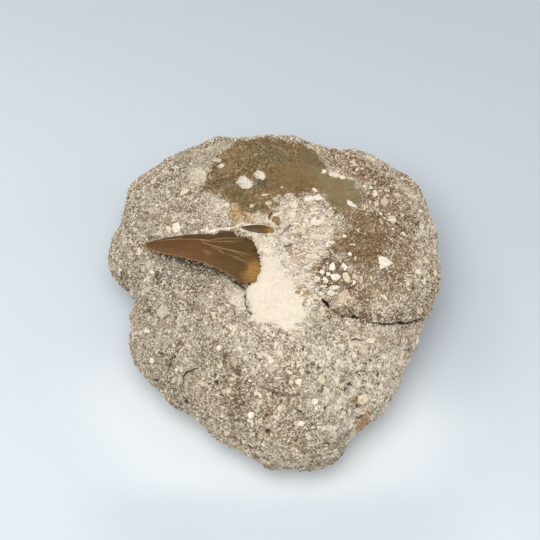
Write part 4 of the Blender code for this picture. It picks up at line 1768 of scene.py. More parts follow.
@dataclass
class Scatter:
    """Small pieces bedded in the stone's skin, thrown by Geometry Nodes."""

    name: str
    shape: GrainShape
    spacing: float
    smallest: float
    largest: float
    thickness: tuple[float, float]  # as a share of the width, least and most
    sunk: float  # how deep their middles lie
    tilt: float  # degrees off the skin
    seed: int
    narrowest: float = 0.6  # width as a share of the length
    heading: float | None = None  # degrees that they point to, all ways if not given
    heading_spread: float = 28.0
    variants: int = 5
    broken: float = 0.13  # how far their corners stray
    crowding: float = 2.2  # places tried for each piece's room, before the spacing thins them
    widest: float = 1.4  # the most width, as a share of the least

    def _inputs(self, material: bpy.types.Material) -> dict[str, tuple[str, object]]:
        """List the tree's named inputs.

        Args:
            material: The pieces' material.

        Returns:
            The kind of socket and the value for each name.
        """
        numbers = {
            "Spacing": self.spacing * MM,
            "Smallest": self.smallest * MM,
            "Largest": self.largest * MM,
            "Sunk": -self.sunk * MM,
            "Tilt": math.radians(self.tilt),
            "Thinnest": self.thickness[0],
            "Thickest": self.thickness[1],
            "Narrowest": self.narrowest,
        }
        inputs = {name: ("NodeSocketFloat", value) for name, value in numbers.items()}
        return inputs | {"Seed": ("NodeSocketInt", self.seed), "Finish": ("NodeSocketMaterial", material)}

    def _tree(self, inputs: dict[str, tuple[str, object]]) -> tuple[bpy.types.NodeTree, dict[str, str]]:
        """Build the scattering tree.

        Args:
            inputs: The kind of socket and the value for each name.

        Returns:
            The tree, and the identifier of each of its named inputs.
        """
        tree = bpy.data.node_groups.new(f"scatter {self.name}", "GeometryNodeTree")
        face = tree.interface
        face.new_socket("Geometry", in_out="INPUT", socket_type="NodeSocketGeometry")
        names = {
            name: face.new_socket(name, in_out="INPUT", socket_type=kind).identifier
            for name, (kind, _) in inputs.items()
        }
        face.new_socket("Geometry", in_out="OUTPUT", socket_type="NodeSocketGeometry")

        bench = NodeBench(tree)
        given = bench.node("NodeGroupInput").outputs
        share = bench.first("GeometryNodeInputNamedAttribute", {"data_type": "FLOAT"}, {"Name": self.name})
        thrown = bench.node(
            "GeometryNodeDistributePointsOnFaces",
            {"distribute_method": "POISSON"},
            {
                "Mesh": given["Geometry"],
                "Distance Min": given["Spacing"],
                "Density Max": self.crowding / (self.spacing * MM) ** 2,
                "Density Factor": share,
                "Seed": given["Seed"],
            },
        ).outputs
        sink = bench.vector_math("SCALE", {0: thrown["Normal"], "Scale": given["Sunk"]})
        bedded = bench.first(
            "GeometryNodeSetPosition", inputs={"Geometry": thrown["Points"], "Offset": sink}
        )
        size = self._random(bench, "FLOAT", given["Smallest"], given["Largest"], 1)
        squat = self._random(bench, "FLOAT", given["Thinnest"], given["Thickest"], 2)
        narrow = self._random(bench, "FLOAT", given["Narrowest"], self.widest * self.narrowest, 3)
        wide = bench.first("ShaderNodeCombineXYZ", inputs={0: 1.0, 1: narrow, 2: squat})
        scale = bench.vector_math("SCALE", {0: wide, "Scale": size})
        back = bench.first("ShaderNodeMath", {"operation": "MULTIPLY"}, {0: given["Tilt"], 1: -1.0})
        leans = {axis: self._random(bench, "FLOAT", back, given["Tilt"], 4 + axis) for axis in (0, 1)}
        lean = bench.first("ShaderNodeCombineXYZ", inputs=leans)
        heading = self._random(bench, "FLOAT", *self._headings(), 6)
        spin = bench.first("ShaderNodeCombineXYZ", inputs={2: heading})
        upright = {"Rotation": spin, "Vector": thrown["Normal"]}
        upright = bench.first("FunctionNodeAlignRotationToVector", {"axis": "Z"}, upright)
        rotated = bench.first(
            "FunctionNodeRotateRotation", {"rotation_space": "LOCAL"}, {0: upright, 1: lean}
        )
        placed = bench.first(
            "GeometryNodeInstanceOnPoints",
            inputs={
                "Points": bedded,
                "Instance": self._kinds(bench),
                "Pick Instance": True,
                "Instance Index": self._random(bench, "INT", 0, self.variants - 1, 7),
                "Rotation": rotated,
                "Scale": scale,
            },
        )
        toned = bench.first(
            "GeometryNodeStoreNamedAttribute",
            {"data_type": "FLOAT", "domain": "INSTANCE"},
            {"Geometry": placed, "Name": "tone", "Value": self._random(bench, "FLOAT", 0.0, 1.0, 8)},
        )
        real = bench.first("GeometryNodeRealizeInstances", inputs={0: toned})
        made = bench.first("GeometryNodeSetMaterial", inputs={0: real, "Material": given["Finish"]})
        bench.node("NodeGroupOutput", inputs={0: made})
        return tree, names

    def _headings(self) -> tuple[float, float]:
        """How far the pieces are turned about the upright.

        Returns:
            The least and the most, in radians.
        """
        if self.heading is None:
            return 0.0, math.tau
        middle, spread = math.radians(self.heading), math.radians(self.heading_spread)
        return middle - spread, middle + spread

    def _random(self, bench: NodeBench, kind: str, low: object, high: object, seed: int) -> Socket:
        """Draw a random number or vector for each point.

        Args:
            bench: The tree's bench.
            kind: The node's data type, which says which of its sockets are used.
            low: The least, as a value or a socket.
            high: The most.
            seed: Which of the pieces' draws it is.

        Returns:
            The draw's socket.
        """
        first, output = {"FLOAT_VECTOR": (0, 0), "FLOAT": (2, 1), "INT": (4, 2)}[kind]
        inputs = {first: low, first + 1: high, "Seed": self.seed * 10 + seed}
        return bench.node("FunctionNodeRandomValue", {"data_type": kind}, inputs).outputs[output]

    def _kinds(self, bench: NodeBench) -> Socket:
        """Make the few broken forms that the pieces are picked from.

        Args:
            bench: The tree's bench.

        Returns:
            The forms' socket, each form an instance.
        """
        made = []
        low, high = (-self.broken,) * 3, (self.broken,) * 3
        for index in range(self.variants):
            form = bench.first(self.shape.value, inputs=self.shape.sizes)
            stray = self._random(bench, "FLOAT_VECTOR", low, high, 20 + index)
            form = bench.first("GeometryNodeSetPosition", inputs={"Geometry": form, "Offset": stray})
            flat = {"Geometry": form, "Shade Smooth": False}
            form = bench.first("GeometryNodeSetShadeSmooth", inputs=flat)
            made.append(bench.first("GeometryNodeGeometryToInstance", inputs={0: form}))
        return bench.first("GeometryNodeJoinGeometry", inputs={0: made})

    def build(self, skin: bpy.types.Object, share: Array, material: bpy.types.Material) -> bpy.types.Object:
        """Throw the pieces over a skin.

        Args:
            skin: The object they lie in.
            share: How densely they lie at each of its points, 0 to 1.
            material: Their material.

        Returns:
            The pieces as one object.
        """
        put_numbers(skin.data, self.name, share)
        inputs = self._inputs(material)
        tree, names = self._tree(inputs)
        carrier = add_object(f"{self.name}_carrier", skin.data)
        modifier = carrier.modifiers.new(self.name, "NODES")
        modifier.node_group = tree
        for name, (_, value) in inputs.items():
            modifier[names[name]] = value
        graph = bpy.context.evaluated_depsgraph_get()
        mesh = bpy.data.meshes.new_from_object(carrier.evaluated_get(graph), depsgraph=graph)
        bpy.data.objects.remove(carrier)
        mesh.name = self.name
        for name in [a.name for a in mesh.attributes if a.name in skin.data.attributes]:
            if name != "position" and not name.startswith("."):
                mesh.attributes.remove(mesh.attributes[name])
        put_points(mesh, inside_box(mesh_points(mesh), STONE_NODE))
        mark_zones(mesh)
        skin.data.attributes.remove(skin.data.attributes[self.name])
        return dress(add_object(self.name, mesh), material)


@dataclass(frozen=True)
class Shell:
    """One bedded shell piece or pebble, seen from above."""

    x: float
    y: float
    length: float
    width: float
    turn: float
    corners: int
    tone: ShellTone
    proud: float = 0.35  # how far it stands out of the skin


# Each row is a Shell's fields, with the name of its tone. The pieces are drawn in this order.
SHELL_ROWS: Sequence[tuple] = (
    (-38.6, 20.0, 4.2, 4.4, 10, 8, "WHITE", 0.5), (-41.6, 19.6, 2.6, 3.0, 0, 6, "CREAMY", 0.4),
    (-45.0, 17.4, 2.6, 2.0, 30, 6, "PINK"), (-42.3, -16.9, 6.4, 7.2, 0, 10, "GREY", 0.5),
    (-38.0, -9.0, 3.0, 3.6, 20, 8, "GREY", 0.3), (-23.0, -21.6, 1.7, 4.0, 35, 7, "CREAMY", 0.45),
    (-20.6, -22.8, 1.6, 3.6, 30, 7, "PINK", 0.4), (-20.9, -32.8, 2.6, 2.8, 0, 7, "WHITE", 0.5),
    (-12.5, -34.1, 2.4, 2.4, 0, 6, "WHITE", 0.5), (-13.6, -31.3, 2.0, 2.2, 0, 6, "CREAMY", 0.4),
    (-10.6, -40.7, 1.8, 1.8, 0, 5, "WHITE", 0.45), (-9.0, -45.5, 2.2, 1.2, 0, 5, "WHITE", 0.4),
    (-5.2, -52.3, 1.6, 2.4, 20, 5, "WHITE", 0.4), (-29.3, -44.5, 1.8, 2.0, 0, 6, "CREAMY", 0.4),
    (-7.5, -63.1, 1.2, 2.2, 0, 5, "WHITE", 0.4), (-11.4, -62.7, 2.6, 2.6, 0, 6, "CREAMY", 0.4),
    (-8.6, -57.7, 3.2, 3.4, -30, 6, "WHITE", 0.45), (28.4, -54.3, 2.2, 2.0, 0, 6, "WHITE", 0.5),
    (41.7, -40.8, 2.2, 2.0, 0, 6, "WHITE", 0.5), (16.6, -68.8, 1.3, 1.6, 0, 5, "WHITE", 0.4),
    (25.7, -46.8, 2.2, 2.4, 0, 6, "CREAMY", 0.4), (-15.5, -28.5, 2.0, 1.6, 40, 6, "CREAMY"),
    (-48.6, 43.0, 4.2, 2.6, 60, 7, "CREAMY"), (-35.9, 35.8, 5.2, 3.2, 35, 9, "CREAMY"),
    (22.6, -0.6, 3.2, 4.4, -20, 6, "WHITE", 0.6), (27.4, -0.4, 3.0, 4.0, 0, 4, "WHITE", 0.7),
    (20.6, 1.0, 1.6, 1.4, 0, 5, "CREAMY", 0.4), (21.0, -3.6, 2.4, 2.0, 0, 5, "WHITE", 0.5),
    (23.8, -5.0, 4.4, 4.0, 10, 7, "WHITE", 0.7), (27.9, -4.9, 3.0, 6.2, 15, 8, "CREAMY", 0.6),
    (18.6, -2.8, 3.0, 2.2, -35, 5, "WHITE", 0.5), (19.9, -6.3, 2.4, 3.2, 20, 5, "WHITE", 0.5),
    (16.6, -6.0, 3.8, 3.0, 10, 6, "WHITE", 0.5), (14.4, -7.8, 2.2, 1.8, 10, 5, "WHITE", 0.45),
    (23.4, -9.2, 5.6, 2.0, 8, 7, "WHITE", 0.5), (19.0, -9.3, 3.6, 1.4, 4, 6, "CREAMY", 0.4),
    (22.0, -11.9, 3.4, 3.0, -20, 6, "WHITE", 0.45), (18.4, -12.5, 2.2, 2.0, 0, 5, "WHITE", 0.45),
    (31.0, -7.2, 1.8, 2.8, -15, 5, "WHITE", 0.5), (26.2, -13.2, 4.8, 6.4, 0, 10, "PINK", 0.7),
    (16.0, 21.2, 3.4, 5.2, 0, 7, "WHITE", 0.5), (19.2, 22.6, 2.2, 2.4, 0, 6, "WHITE", 0.45),
    (13.6, 18.8, 1.8, 1.8, 0, 5, "CREAMY", 0.4), (18.2, 5.1, 2.0, 2.8, 10, 5, "CREAMY", 0.4),
    (21.0, 9.0, 1.6, 2.4, 0, 5, "WHITE", 0.4), (29.5, 4.6, 1.9, 2.2, 0, 5, "WHITE", 0.45),
    (31.6, 2.8, 1.4, 1.5, 0, 5, "CREAMY", 0.4), (30.5, 9.0, 3.0, 0.8, -3, 5, "WHITE", 0.4),
    (25.2, -16.6, 1.6, 1.5, 0, 6, "WHITE", 0.4), (27.6, -15.8, 1.8, 1.1, -40, 5, "WHITE", 0.4),
    (12.4, -1.3, 3.2, 1.1, -3, 4, "WHITE", 0.4), (20.2, 13.2, 2.2, 2.0, 0, 6, "CREAMY", 0.4),
    (27.6, 13.3, 2.6, 1.8, -20, 5, "WHITE", 0.5), (33.0, 15.8, 2.4, 0.7, -50, 5, "CREAMY", 0.4),
    (39.0, 38.2, 1.9, 1.8, 40, 6, "WHITE", 0.5), (37.2, 43.4, 2.3, 2.1, 0, 8, "TAN", 0.45),
    (33.8, 47.8, 1.8, 1.6, 30, 6, "WHITE", 0.4), (36.0, 48.2, 1.3, 1.1, 30, 5, "WHITE", 0.4),
    (33.4, 50.2, 2.6, 1.2, 0, 6, "CREAMY", 0.3), (42.5, 25.4, 2.6, 1.6, -35, 6, "WHITE", 0.45),
    (43.9, 23.5, 1.8, 0.9, -20, 5, "WHITE", 0.4), (42.6, 21.4, 1.5, 3.0, 20, 6, "PINK", 0.3),
    (46.2, 37.5, 1.3, 1.2, 0, 5, "WHITE", 0.4), (44.3, 31.2, 3.2, 3.8, 0, 9, "PINK", 0.35),
    (56.2, -12.9, 5.0, 2.4, 35, 9, "PINK", 0.4), (0.9, 21.2, 3.4, 3.8, 0, 9, "BROWN", 0.3),
    (12.7, 21.4, 2.2, 3.0, 10, 6, "WHITE", 0.4), (11.2, 16.6, 4.4, 3.4, 10, 8, "CREAMY", 0.3),
    (8.4, 6.0, 4.0, 1.4, 22, 6, "CREAMY", 0.3), (14.0, 3.6, 4.6, 2.4, 8, 7, "CREAMY", 0.3),
    (19.6, 5.6, 4.2, 1.3, 5, 6, "CREAMY", 0.35), (22.0, 10.0, 4.6, 1.2, 4, 6, "WHITE", 0.35),
    (-8.6, 27.4, 3.0, 1.7, 15, 5, "PINK", 0.4), (-2.2, 28.8, 3.4, 2.2, 20, 6, "PINK", 0.4),
    (3.3, 36.4, 1.2, 1.0, 0, 5, "WHITE", 0.35), (-3.3, 33.0, 3.4, 0.9, 22, 5, "WHITE", 0.35),
    (-21.6, 33.0, 2.2, 1.2, -20, 5, "WHITE", 0.35), (-7.3, 54.0, 2.8, 0.9, 48, 5, "CREAMY", 0.3),
    (-0.8, -41.0, 2.8, 2.4, 20, 7, "WHITE", 0.45), (5.6, -45.2, 4.0, 1.6, -35, 6, "CREAMY", 0.4),
    (9.2, -48.1, 3.6, 3.0, -20, 6, "WHITE", 0.5), (17.8, -46.8, 3.8, 4.4, 0, 8, "CREAMY", 0.45),
    (19.8, -50.2, 2.8, 4.2, 25, 7, "CREAMY", 0.4), (15.3, -54.5, 3.0, 2.6, 0, 7, "WHITE", 0.45),
    (2.1, -56.7, 3.2, 3.0, 30, 7, "CREAMY", 0.4), (10.1, -61.5, 3.4, 2.8, 0, 7, "WHITE", 0.45),
    (-3.9, -66.3, 1.5, 3.2, 10, 6, "WHITE", 0.3), (34.6, -33.4, 5.0, 5.4, 10, 10, "PINK", 0.4),
    (29.2, -31.0, 2.8, 4.0, 25, 7, "CREAMY", 0.4), (24.2, -38.8, 2.4, 2.2, 0, 6, "WHITE", 0.4),
    (40.6, -44.6, 3.0, 1.6, 15, 6, "WHITE", 0.4), (33.6, -50.0, 5.2, 4.2, 30, 9, "CREAMY", 0.45),
    (49.8, -29.0, 2.6, 3.2, -10, 7, "PINK", 0.4), (-49.0, 5.0, 3.2, 3.6, 0, 8, "GREY", 0.4),
)  # fmt: skip


@dataclass
class BeddedShells:
    """The shell pieces and pebbles that are large enough to know one by one."""

    shells: Sequence[Shell] = tuple(Shell(*row[:6], ShellTone[row[6]], *row[7:]) for row in SHELL_ROWS)
    thickness: float = 1.6
    rings: Table = ((0.86, -1.0), (1.0, -0.3), (0.99, 0.1), (0.92, 0.75), (0.55, 1.0))
    seed: int = 5
    triangle: Table = ((40.1, 4.5), (43.6, 4.0), (46.9, 2.0), (41.0, -1.6))
    triangle_proud: float = 0.35

    def _outline(self, shell: Shell, rng: np.random.Generator) -> Array:
        """Draw a broken oval.

        Args:
            shell: The piece that it outlines.
            rng: Where its breaks come from.

        Returns:
            The corners about its middle, one a row.
        """
        strays = rng.uniform(-0.28, 0.28, shell.corners)
        turns = (np.arange(shell.corners) + strays) / shell.corners * math.tau
        reach = rng.uniform(0.76, 1.08, shell.corners)
        long, short = np.cos(turns) * shell.length / 2, np.sin(turns) * shell.width / 2
        angle = math.radians(shell.turn)
        turn = np.array([[math.cos(angle), math.sin(angle)], [-math.sin(angle), math.cos(angle)]])
        return np.stack([long * reach, short * reach], 1) @ turn

    def _add(
        self, made: bmesh.types.BMesh, outline: Array, at: Vector, normal: Vector, proud: float
    ) -> int:
        """Add one plate with worn edges.

        Args:
            made: The mesh of all the plates.
            outline: The plate's corners about its middle, one a row.
            at: The point of the skin where it lies.
            normal: The skin's normal there.
            proud: How far it stands out.

        Returns:
            How many points it has.
        """
        upright = normal.to_track_quat("Z", "Y").to_matrix()
        spin = Vector((1, 0, 0)) @ upright
        level = Matrix.Rotation(math.atan2(spin.y, spin.x), 3, "Z")
        loops = []
        for reach, rise in self.rings:
            lift = rise * (proud if rise > 0 else self.thickness)
            ring = [upright @ (level @ Vector((x * reach, y * reach, lift))) for x, y in outline]
            loops.append([made.verts.new(at + point) for point in ring])
        for here, there in zip(loops, loops[1:]):
            for index in range(len(here)):
                after = (index + 1) % len(here)
                made.faces.new((here[index], here[after], there[after], there[index]))
        for ring, rise in ((loops[0], -self.thickness), (loops[-1], proud * 1.02)):
            middle = made.verts.new(at + upright @ Vector((0, 0, rise)))
            for index, vertex in enumerate(ring):
                made.faces.new((vertex, ring[(index + 1) % len(ring)], middle))
        return len(loops) * len(outline) + 2

    def build(self, skin: BVHTree) -> bpy.types.Object:
        """Bed every piece in the stone.

        Args:
            skin: The stone's surface.

        Returns:
            The pieces as one object.
        """
        rng = np.random.default_rng(self.seed)
        made = bmesh.new()
        tones: list[float] = []
        middle = np.mean(self.triangle, axis=0)
        triangle = np.asarray(self.triangle)[::-1] - middle
        plates = [(s.x, s.y, self._outline(s, rng), s.proud, s.tone) for s in self.shells]
        plates.append((*middle, triangle, self.triangle_proud, ShellTone.WHITE))
        for x, y, outline, proud, tone in plates:
            count = self._add(made, outline, *drop_on(skin, x, y), proud)
            tones.extend([tone.value] * count)
        bmesh.ops.recalc_face_normals(made, faces=made.faces)
        mesh = bmesh_mesh("bedded_shells", made)
        put_numbers(mesh, "tone", np.array(tones))
        put_points(mesh, inside_box(mesh_points(mesh) * MM, STONE_NODE))
        return add_object("bedded_shells", mesh)


def drop_on(skin: BVHTree, x: float, y: float) -> tuple[Vector, Vector]:
    """Find the skin below a place seen from above.

    Args:
        skin: The surface, in millimetres.
        x: First coordinate.
        y: Second coordinate.

    Returns:
        The point and the surface's normal there.
    """
    at, normal, _, _ = skin.ray_cast(Vector((x, y, 100.0)), Vector((0, 0, -1)))
    return at, normal


def grid_skin(name: str, rows: Array) -> bpy.types.Mesh:
    """Close a skin over rings of the same count, with a fan of faces over each end.

    Args:
        name: The mesh's name.
        rows: Rings by points by coordinates, in millimetres.

    Returns:
        The mesh.
    """
    rings, count = rows.shape[:2]
    points = np.vstack([rows.reshape(-1, 3), rows[0].mean(0), rows[-1].mean(0)])
    index = np.arange(rings * count).reshape(rings, count)
    after = np.roll(index, -1, axis=1)
    quads = np.stack([index[:-1], after[:-1], after[1:], index[1:]], axis=-1).reshape(-1, 4)
    first, last = rings * count, rings * count + 1
    caps = [(after[0, i], index[0, i], first) for i in range(count)]
    caps += [(index[-1, i], after[-1, i], last) for i in range(count)]
    faces = quads.tolist() + [tuple(map(int, cap)) for cap in caps]
    mesh = bpy.data.meshes.new(name)
    mesh.from_pydata((points * MM).tolist(), [], faces)
    skin = bmesh.new()
    skin.from_mesh(mesh)
    bmesh.ops.recalc_face_normals(skin, faces=skin.faces)
    skin.to_mesh(mesh)
    skin.free()
    mesh.shade_smooth()
    return mesh


def put_marks(mesh: bpy.types.Mesh, marks: dict[str, Array]) -> None:
    """Store a blade's marks at its points, and 0 at the middles of its two ends."""
    for name, values in marks.items():
        put_numbers(mesh, name, np.append(values.ravel(), [0, 0]))


@dataclass
class ToothCrown:
    """The enamelled blade: its broken edges, hairline cracks and colours."""

    blade: Blade = CROWN
    stations: int = 190
    face_columns: int = 150
    back_columns: int = 26
    cracks: Sequence[tuple[Table, float]] = (
        ((
            (42.5, -2.4), (35, -3.5), (28.6, -4.4), (20.6, -4.7), (16.1, -6.3), (10.8, -7.9), (5.9, -9.6),
        ), 0.9),
        (((25, -4.3), (21.7, -3.9), (15.7, -4.5), (8.7, -5.6)), 0.7),
        (((23.5, -3.4), (21.1, -2.3), (15.7, -1.4), (9, -0.5), (2, 0.6)), 0.8),
        (((9.1, 2.4), (6.4, 3.3), (3.5, 3.9)), 0.6),
        (((15.7, 0), (13, 1.2)), 0.7),
        (((13.2, -1.0), (8, 0.5), (4.5, 1.7)), 0.4),
        (((14, -5.2), (7, -7.6)), 0.4),
        (((12, 1.6), (6, 2.4)), 0.35),
        (((19, -1.0), (13.5, -0.4)), 0.3),
    )
    crack_width: float = 0.2
    crack_depth: float = 0.06
    crack_stray: float = 0.25
    stray_wave: float = 3.0
    ragged: float = 0.8
    ragged_wave: float = 1.1
    ragged_within: float = 2.2  # of the enamel's end
    ripple: float = 0.03
    ripple_waves: tuple[float, float] = (0.9, 26.0)  # across the blade and along it
    ridge: Table = ((0, -7.5), (16, -6.0), (21, -4.6), (42, -2.4), (47, 0))  # darker beyond it
    amber: Lump = Lump(0.5, 8.6, 5.5, 5.6, 0, 1.15)
    painted_highlight: tuple[float, float] = (19.8, 1.5)  # a painted highlight, along the blade and across it
    shares: tuple[float, float, float] = (0.75, 0.8, 0.6)  # of the dark band, the red edge and the tip

    def _section(self) -> tuple[Array, Array]:
        """Space the columns round a section.

        Returns:
            Where each is across it, from -1 to 1, and 1 on its face or -1 on its back.
        """
        face, back = (
            np.cos(np.linspace(0, math.pi, count, endpoint=False))
            for count in (self.face_columns, self.back_columns)
        )
        return np.concatenate([face, -back]), np.concatenate([np.ones(len(face)), -np.ones(len(back))])

    def build(self) -> bpy.types.Object:
        """Make the crown's mesh and the marks that its finish reads.

        Returns:
            The crown's object.
        """
        side, out = self._section()
        progress = np.linspace(0, 1, self.stations) ** 1.05
        side, progress = np.meshgrid(side, progress)
        station, offset = self.blade.station(progress, side)
        rough = sampled_grid(
            offset / self.ragged_wave, station * 0, lambda p: noise.fractal(p, 0.7, 2.0, 3)
        )
        from_end = self.blade.from_enamel_end(station, offset)
        station = station + self.ragged * rough * (1 - smooth_step(0, self.ragged_within, from_end))
        marks = self._marks(station, offset, out)
        groove = marks.pop("groove")
        across, forward = self.ripple_waves
        ripple = sampled_grid(offset / across, station / forward, noise.noise)
        relief = (1 - side**4) * (self.ripple * ripple - self.crack_depth * groove)
        rise = self.blade.bulge(station, out) * (1 - np.abs(side) ** 2.0)
        mesh = self.blade.skin("enamel_crown", station, offset, rise + np.where(out > 0, 1, 0) * relief)
        put_marks(mesh, marks)
        return add_object("enamel_crown", mesh)

    def _marks(self, station: Array, offset: Array, out: Array) -> dict[str, Array]:
        """Lay out the crown's colours, cracks and a painted highlight.

        Args:
            station: Distance along the blade.
            offset: Distance across it.
            out: 1 on the face, -1 on the back.

        Returns:
            A number from 0 to 1 at each point for each mark, and for the cracks' grooves.
        """
        wander = sampled_grid(station / self.stray_wave, offset / self.stray_wave, noise.noise)
        groove = np.zeros(station.shape)
        for path, strength in self.cracks:
            distance, _, passed = path_distance(station, offset + self.crack_stray * wander, path)
            fade = smooth_step(0, 0.12, passed) * smooth_step(1, 0.85, passed) * 0.7 + 0.3
            line = strength * fade * (1 - smooth_step(0.2, 1.0, distance / self.crack_width))
            groove = np.maximum(groove, line)
        groove = groove * (out > 0)
        ahead, aside = station - self.painted_highlight[0], offset - self.painted_highlight[1]
        painted_highlight = np.exp(-((ahead / 1.8) ** 2 + ((aside + 0.25 * ahead) / 0.6) ** 2))
        band_share, edge_share, tip_share = self.shares
        band = smooth_step(0.5, -0.5, offset - along(self.ridge, station) + 0.3 * wander) * band_share
        strayed = self.blade.from_enamel_end(station, offset) + 1.2 * wander
        amber = self.amber.rise(station, offset) * smooth_step(10.5, 1.0, strayed)
        near, far = along(self.blade.near_edge, station), along(self.blade.far_edge, station)
        edge = smooth_step(0.4, 0.05, near - offset) * smooth_step(3, 9, station) * edge_share
        tip = smooth_step(44.5, 46.3, station) * tip_share
        dark_base = smooth_step(1.0, 0.1, strayed) * 0.75 * smooth_step(5, 0, offset)
        return {
            "groove": groove,
            # the pale cracks, and a soft painted highlight on the face
            "pale": np.clip(groove * 0.85 + painted_highlight * 0.2 * (out > 0), 0, 1),
            "band": band,
            "amber": np.clip(amber, 0, 1),
            "red": np.clip(np.maximum(edge, tip), 0, 1),
            "dark_end": dark_base + smooth_step(0.35, 0.0, offset - far) * 0.25,
        }


@dataclass
class SideCusp:
    """The small cusp beside the crown, dark at its tip and amber at its base."""

    blade: Blade = CUSP
    stations: int = 70
    columns: int = 56

    def build(self) -> bpy.types.Object:
        """Make the cusp's mesh and the marks that its finish reads.

        Returns:
            The cusp's object.
        """
        turns = np.linspace(0, math.tau, self.columns, endpoint=False)
        side, progress = np.meshgrid(np.cos(turns), np.linspace(0, 1, self.stations))
        out = np.where(np.sin(turns) >= 0, 1.0, -1.0)[None, :]
        station, offset = self.blade.station(progress, side)
        rise = self.blade.bulge(station, out) * (1 - side**2)
        mesh = self.blade.skin("side_cusp", station, offset, rise)
        base = smooth_step(0.3, 0, self.blade.from_enamel_end(station, offset))
        marks = {
            "pale": np.zeros(station.shape),
            "band": smooth_step(6, 15, station) * 0.6,
            "amber": smooth_step(11, 2, station) * 0.9,
            "red": np.zeros(station.shape),
            "dark_end": base * 0.3 + smooth_step(0.9, 1.0, np.abs(side)) * 0.3,
        }
        put_marks(mesh, marks)
        return add_object("side_cusp", mesh)


@dataclass
class ToothRoot:
    """The root's body, of which only the top shows, dying out into the stone about it."""

    form: StoneForm = field(default_factory=StoneForm)
    line: Table = ((5, 21.5), (2.5, 13.5), (0, 5), (0.2, -5), (3.6, -14.5), (8.0, -25.5))
    half_widths: Sequence[float] = (6.5, 7.5, 9.5, 9.8, 12.9, 14.0)
    half_depths: Sequence[float] = (4.5, 6.0, 7.0, 7.0, 6.0, 4.5)
    stands_out: float = 0.45
    enamel_step: float = 0.5
    collar_reach: float = 15.0
    subdivisions: int = 5
    step: float = 0.02  # share of the line over which its direction is measured
    rough_wave: float = 5.0
    edge_drop: float = 1.1  # how far the root's top dips at its edge

    def top(self, x: Array, y: Array) -> Array:
        """Height of the root's face, which rises to the crown where the two meet.

        Args:
            x: First coordinates of points seen from above.
            y: Second coordinates.

        Returns:
            The height at each.
        """
        distance, side, height = CROWN.over(x, y)
        end = along(CROWN.enamel_line, side)
        far, near = along(CROWN.far_edge, end), along(CROWN.near_edge, end)
        from_middle = np.minimum(1.0, np.abs(2 * (side - far) / (near - far) - 1))
        collar = height + along(CROWN.face_bulge, end) * (1 - from_middle**2) - self.enamel_step
        top = self.form.height(x, y) + self.stands_out
        top = top + np.maximum(0.0, collar - top) * (1 - smooth_step(0, self.collar_reach, end - distance))
        return soft_least(top, self.form.cusp_bed_height(x, y), 0.3)

    def build(self) -> bpy.types.Object:
        """Make the root's mesh.

        Returns:
            The root's object.
        """
        ball = bmesh.new()
        bmesh.ops.create_icosphere(ball, subdivisions=self.subdivisions, radius=1.0)
        refine(ball, lambda vertex: vertex.co.z > 0)
        for vertex in ball.verts:
            vertex.co.normalize()
        directions = np.array([vertex.co for vertex in ball.verts])
        mesh = bmesh_mesh("tooth_root", ball)

        share = (1 - directions[:, 1]) / 2
        ahead = between(self.line, share + self.step) - between(self.line, share - self.step)
        ahead /= np.linalg.norm(ahead, axis=1)[:, None]
        sideways = np.stack([-ahead[:, 1], ahead[:, 0]], 1)
        reach = directions[:, 0] * between(self.half_widths, share)
        x, y = (between(self.line, share) + sideways * reach[:, None]).T
        depth = between(self.half_depths, share)
        up = directions[:, 2]
        rise = np.where(up > 0, np.abs(up) ** 0.2, up)
        rough = sampled_grid(
            x / self.rough_wave, y / self.rough_wave, lambda p: noise.fractal(p, 0.8, 2.0, 3)
        )
        edge = 1 - smooth_step(0.05, 0.55, up + 0.18 * rough)
        height = self.top(x, y) - depth + rise * depth - np.where(up > 0, self.edge_drop * edge, 0)
        points = np.stack([x, y, height + 0.05 * rough], 1)
        points[:, :2] -= OUTLINE_MIDDLE
        put_points(mesh, points)
        mesh.shade_smooth()
        mark_zones(mesh)
        put_numbers(mesh, "crack", np.zeros(len(points)))
        return add_object("tooth_root", mesh)


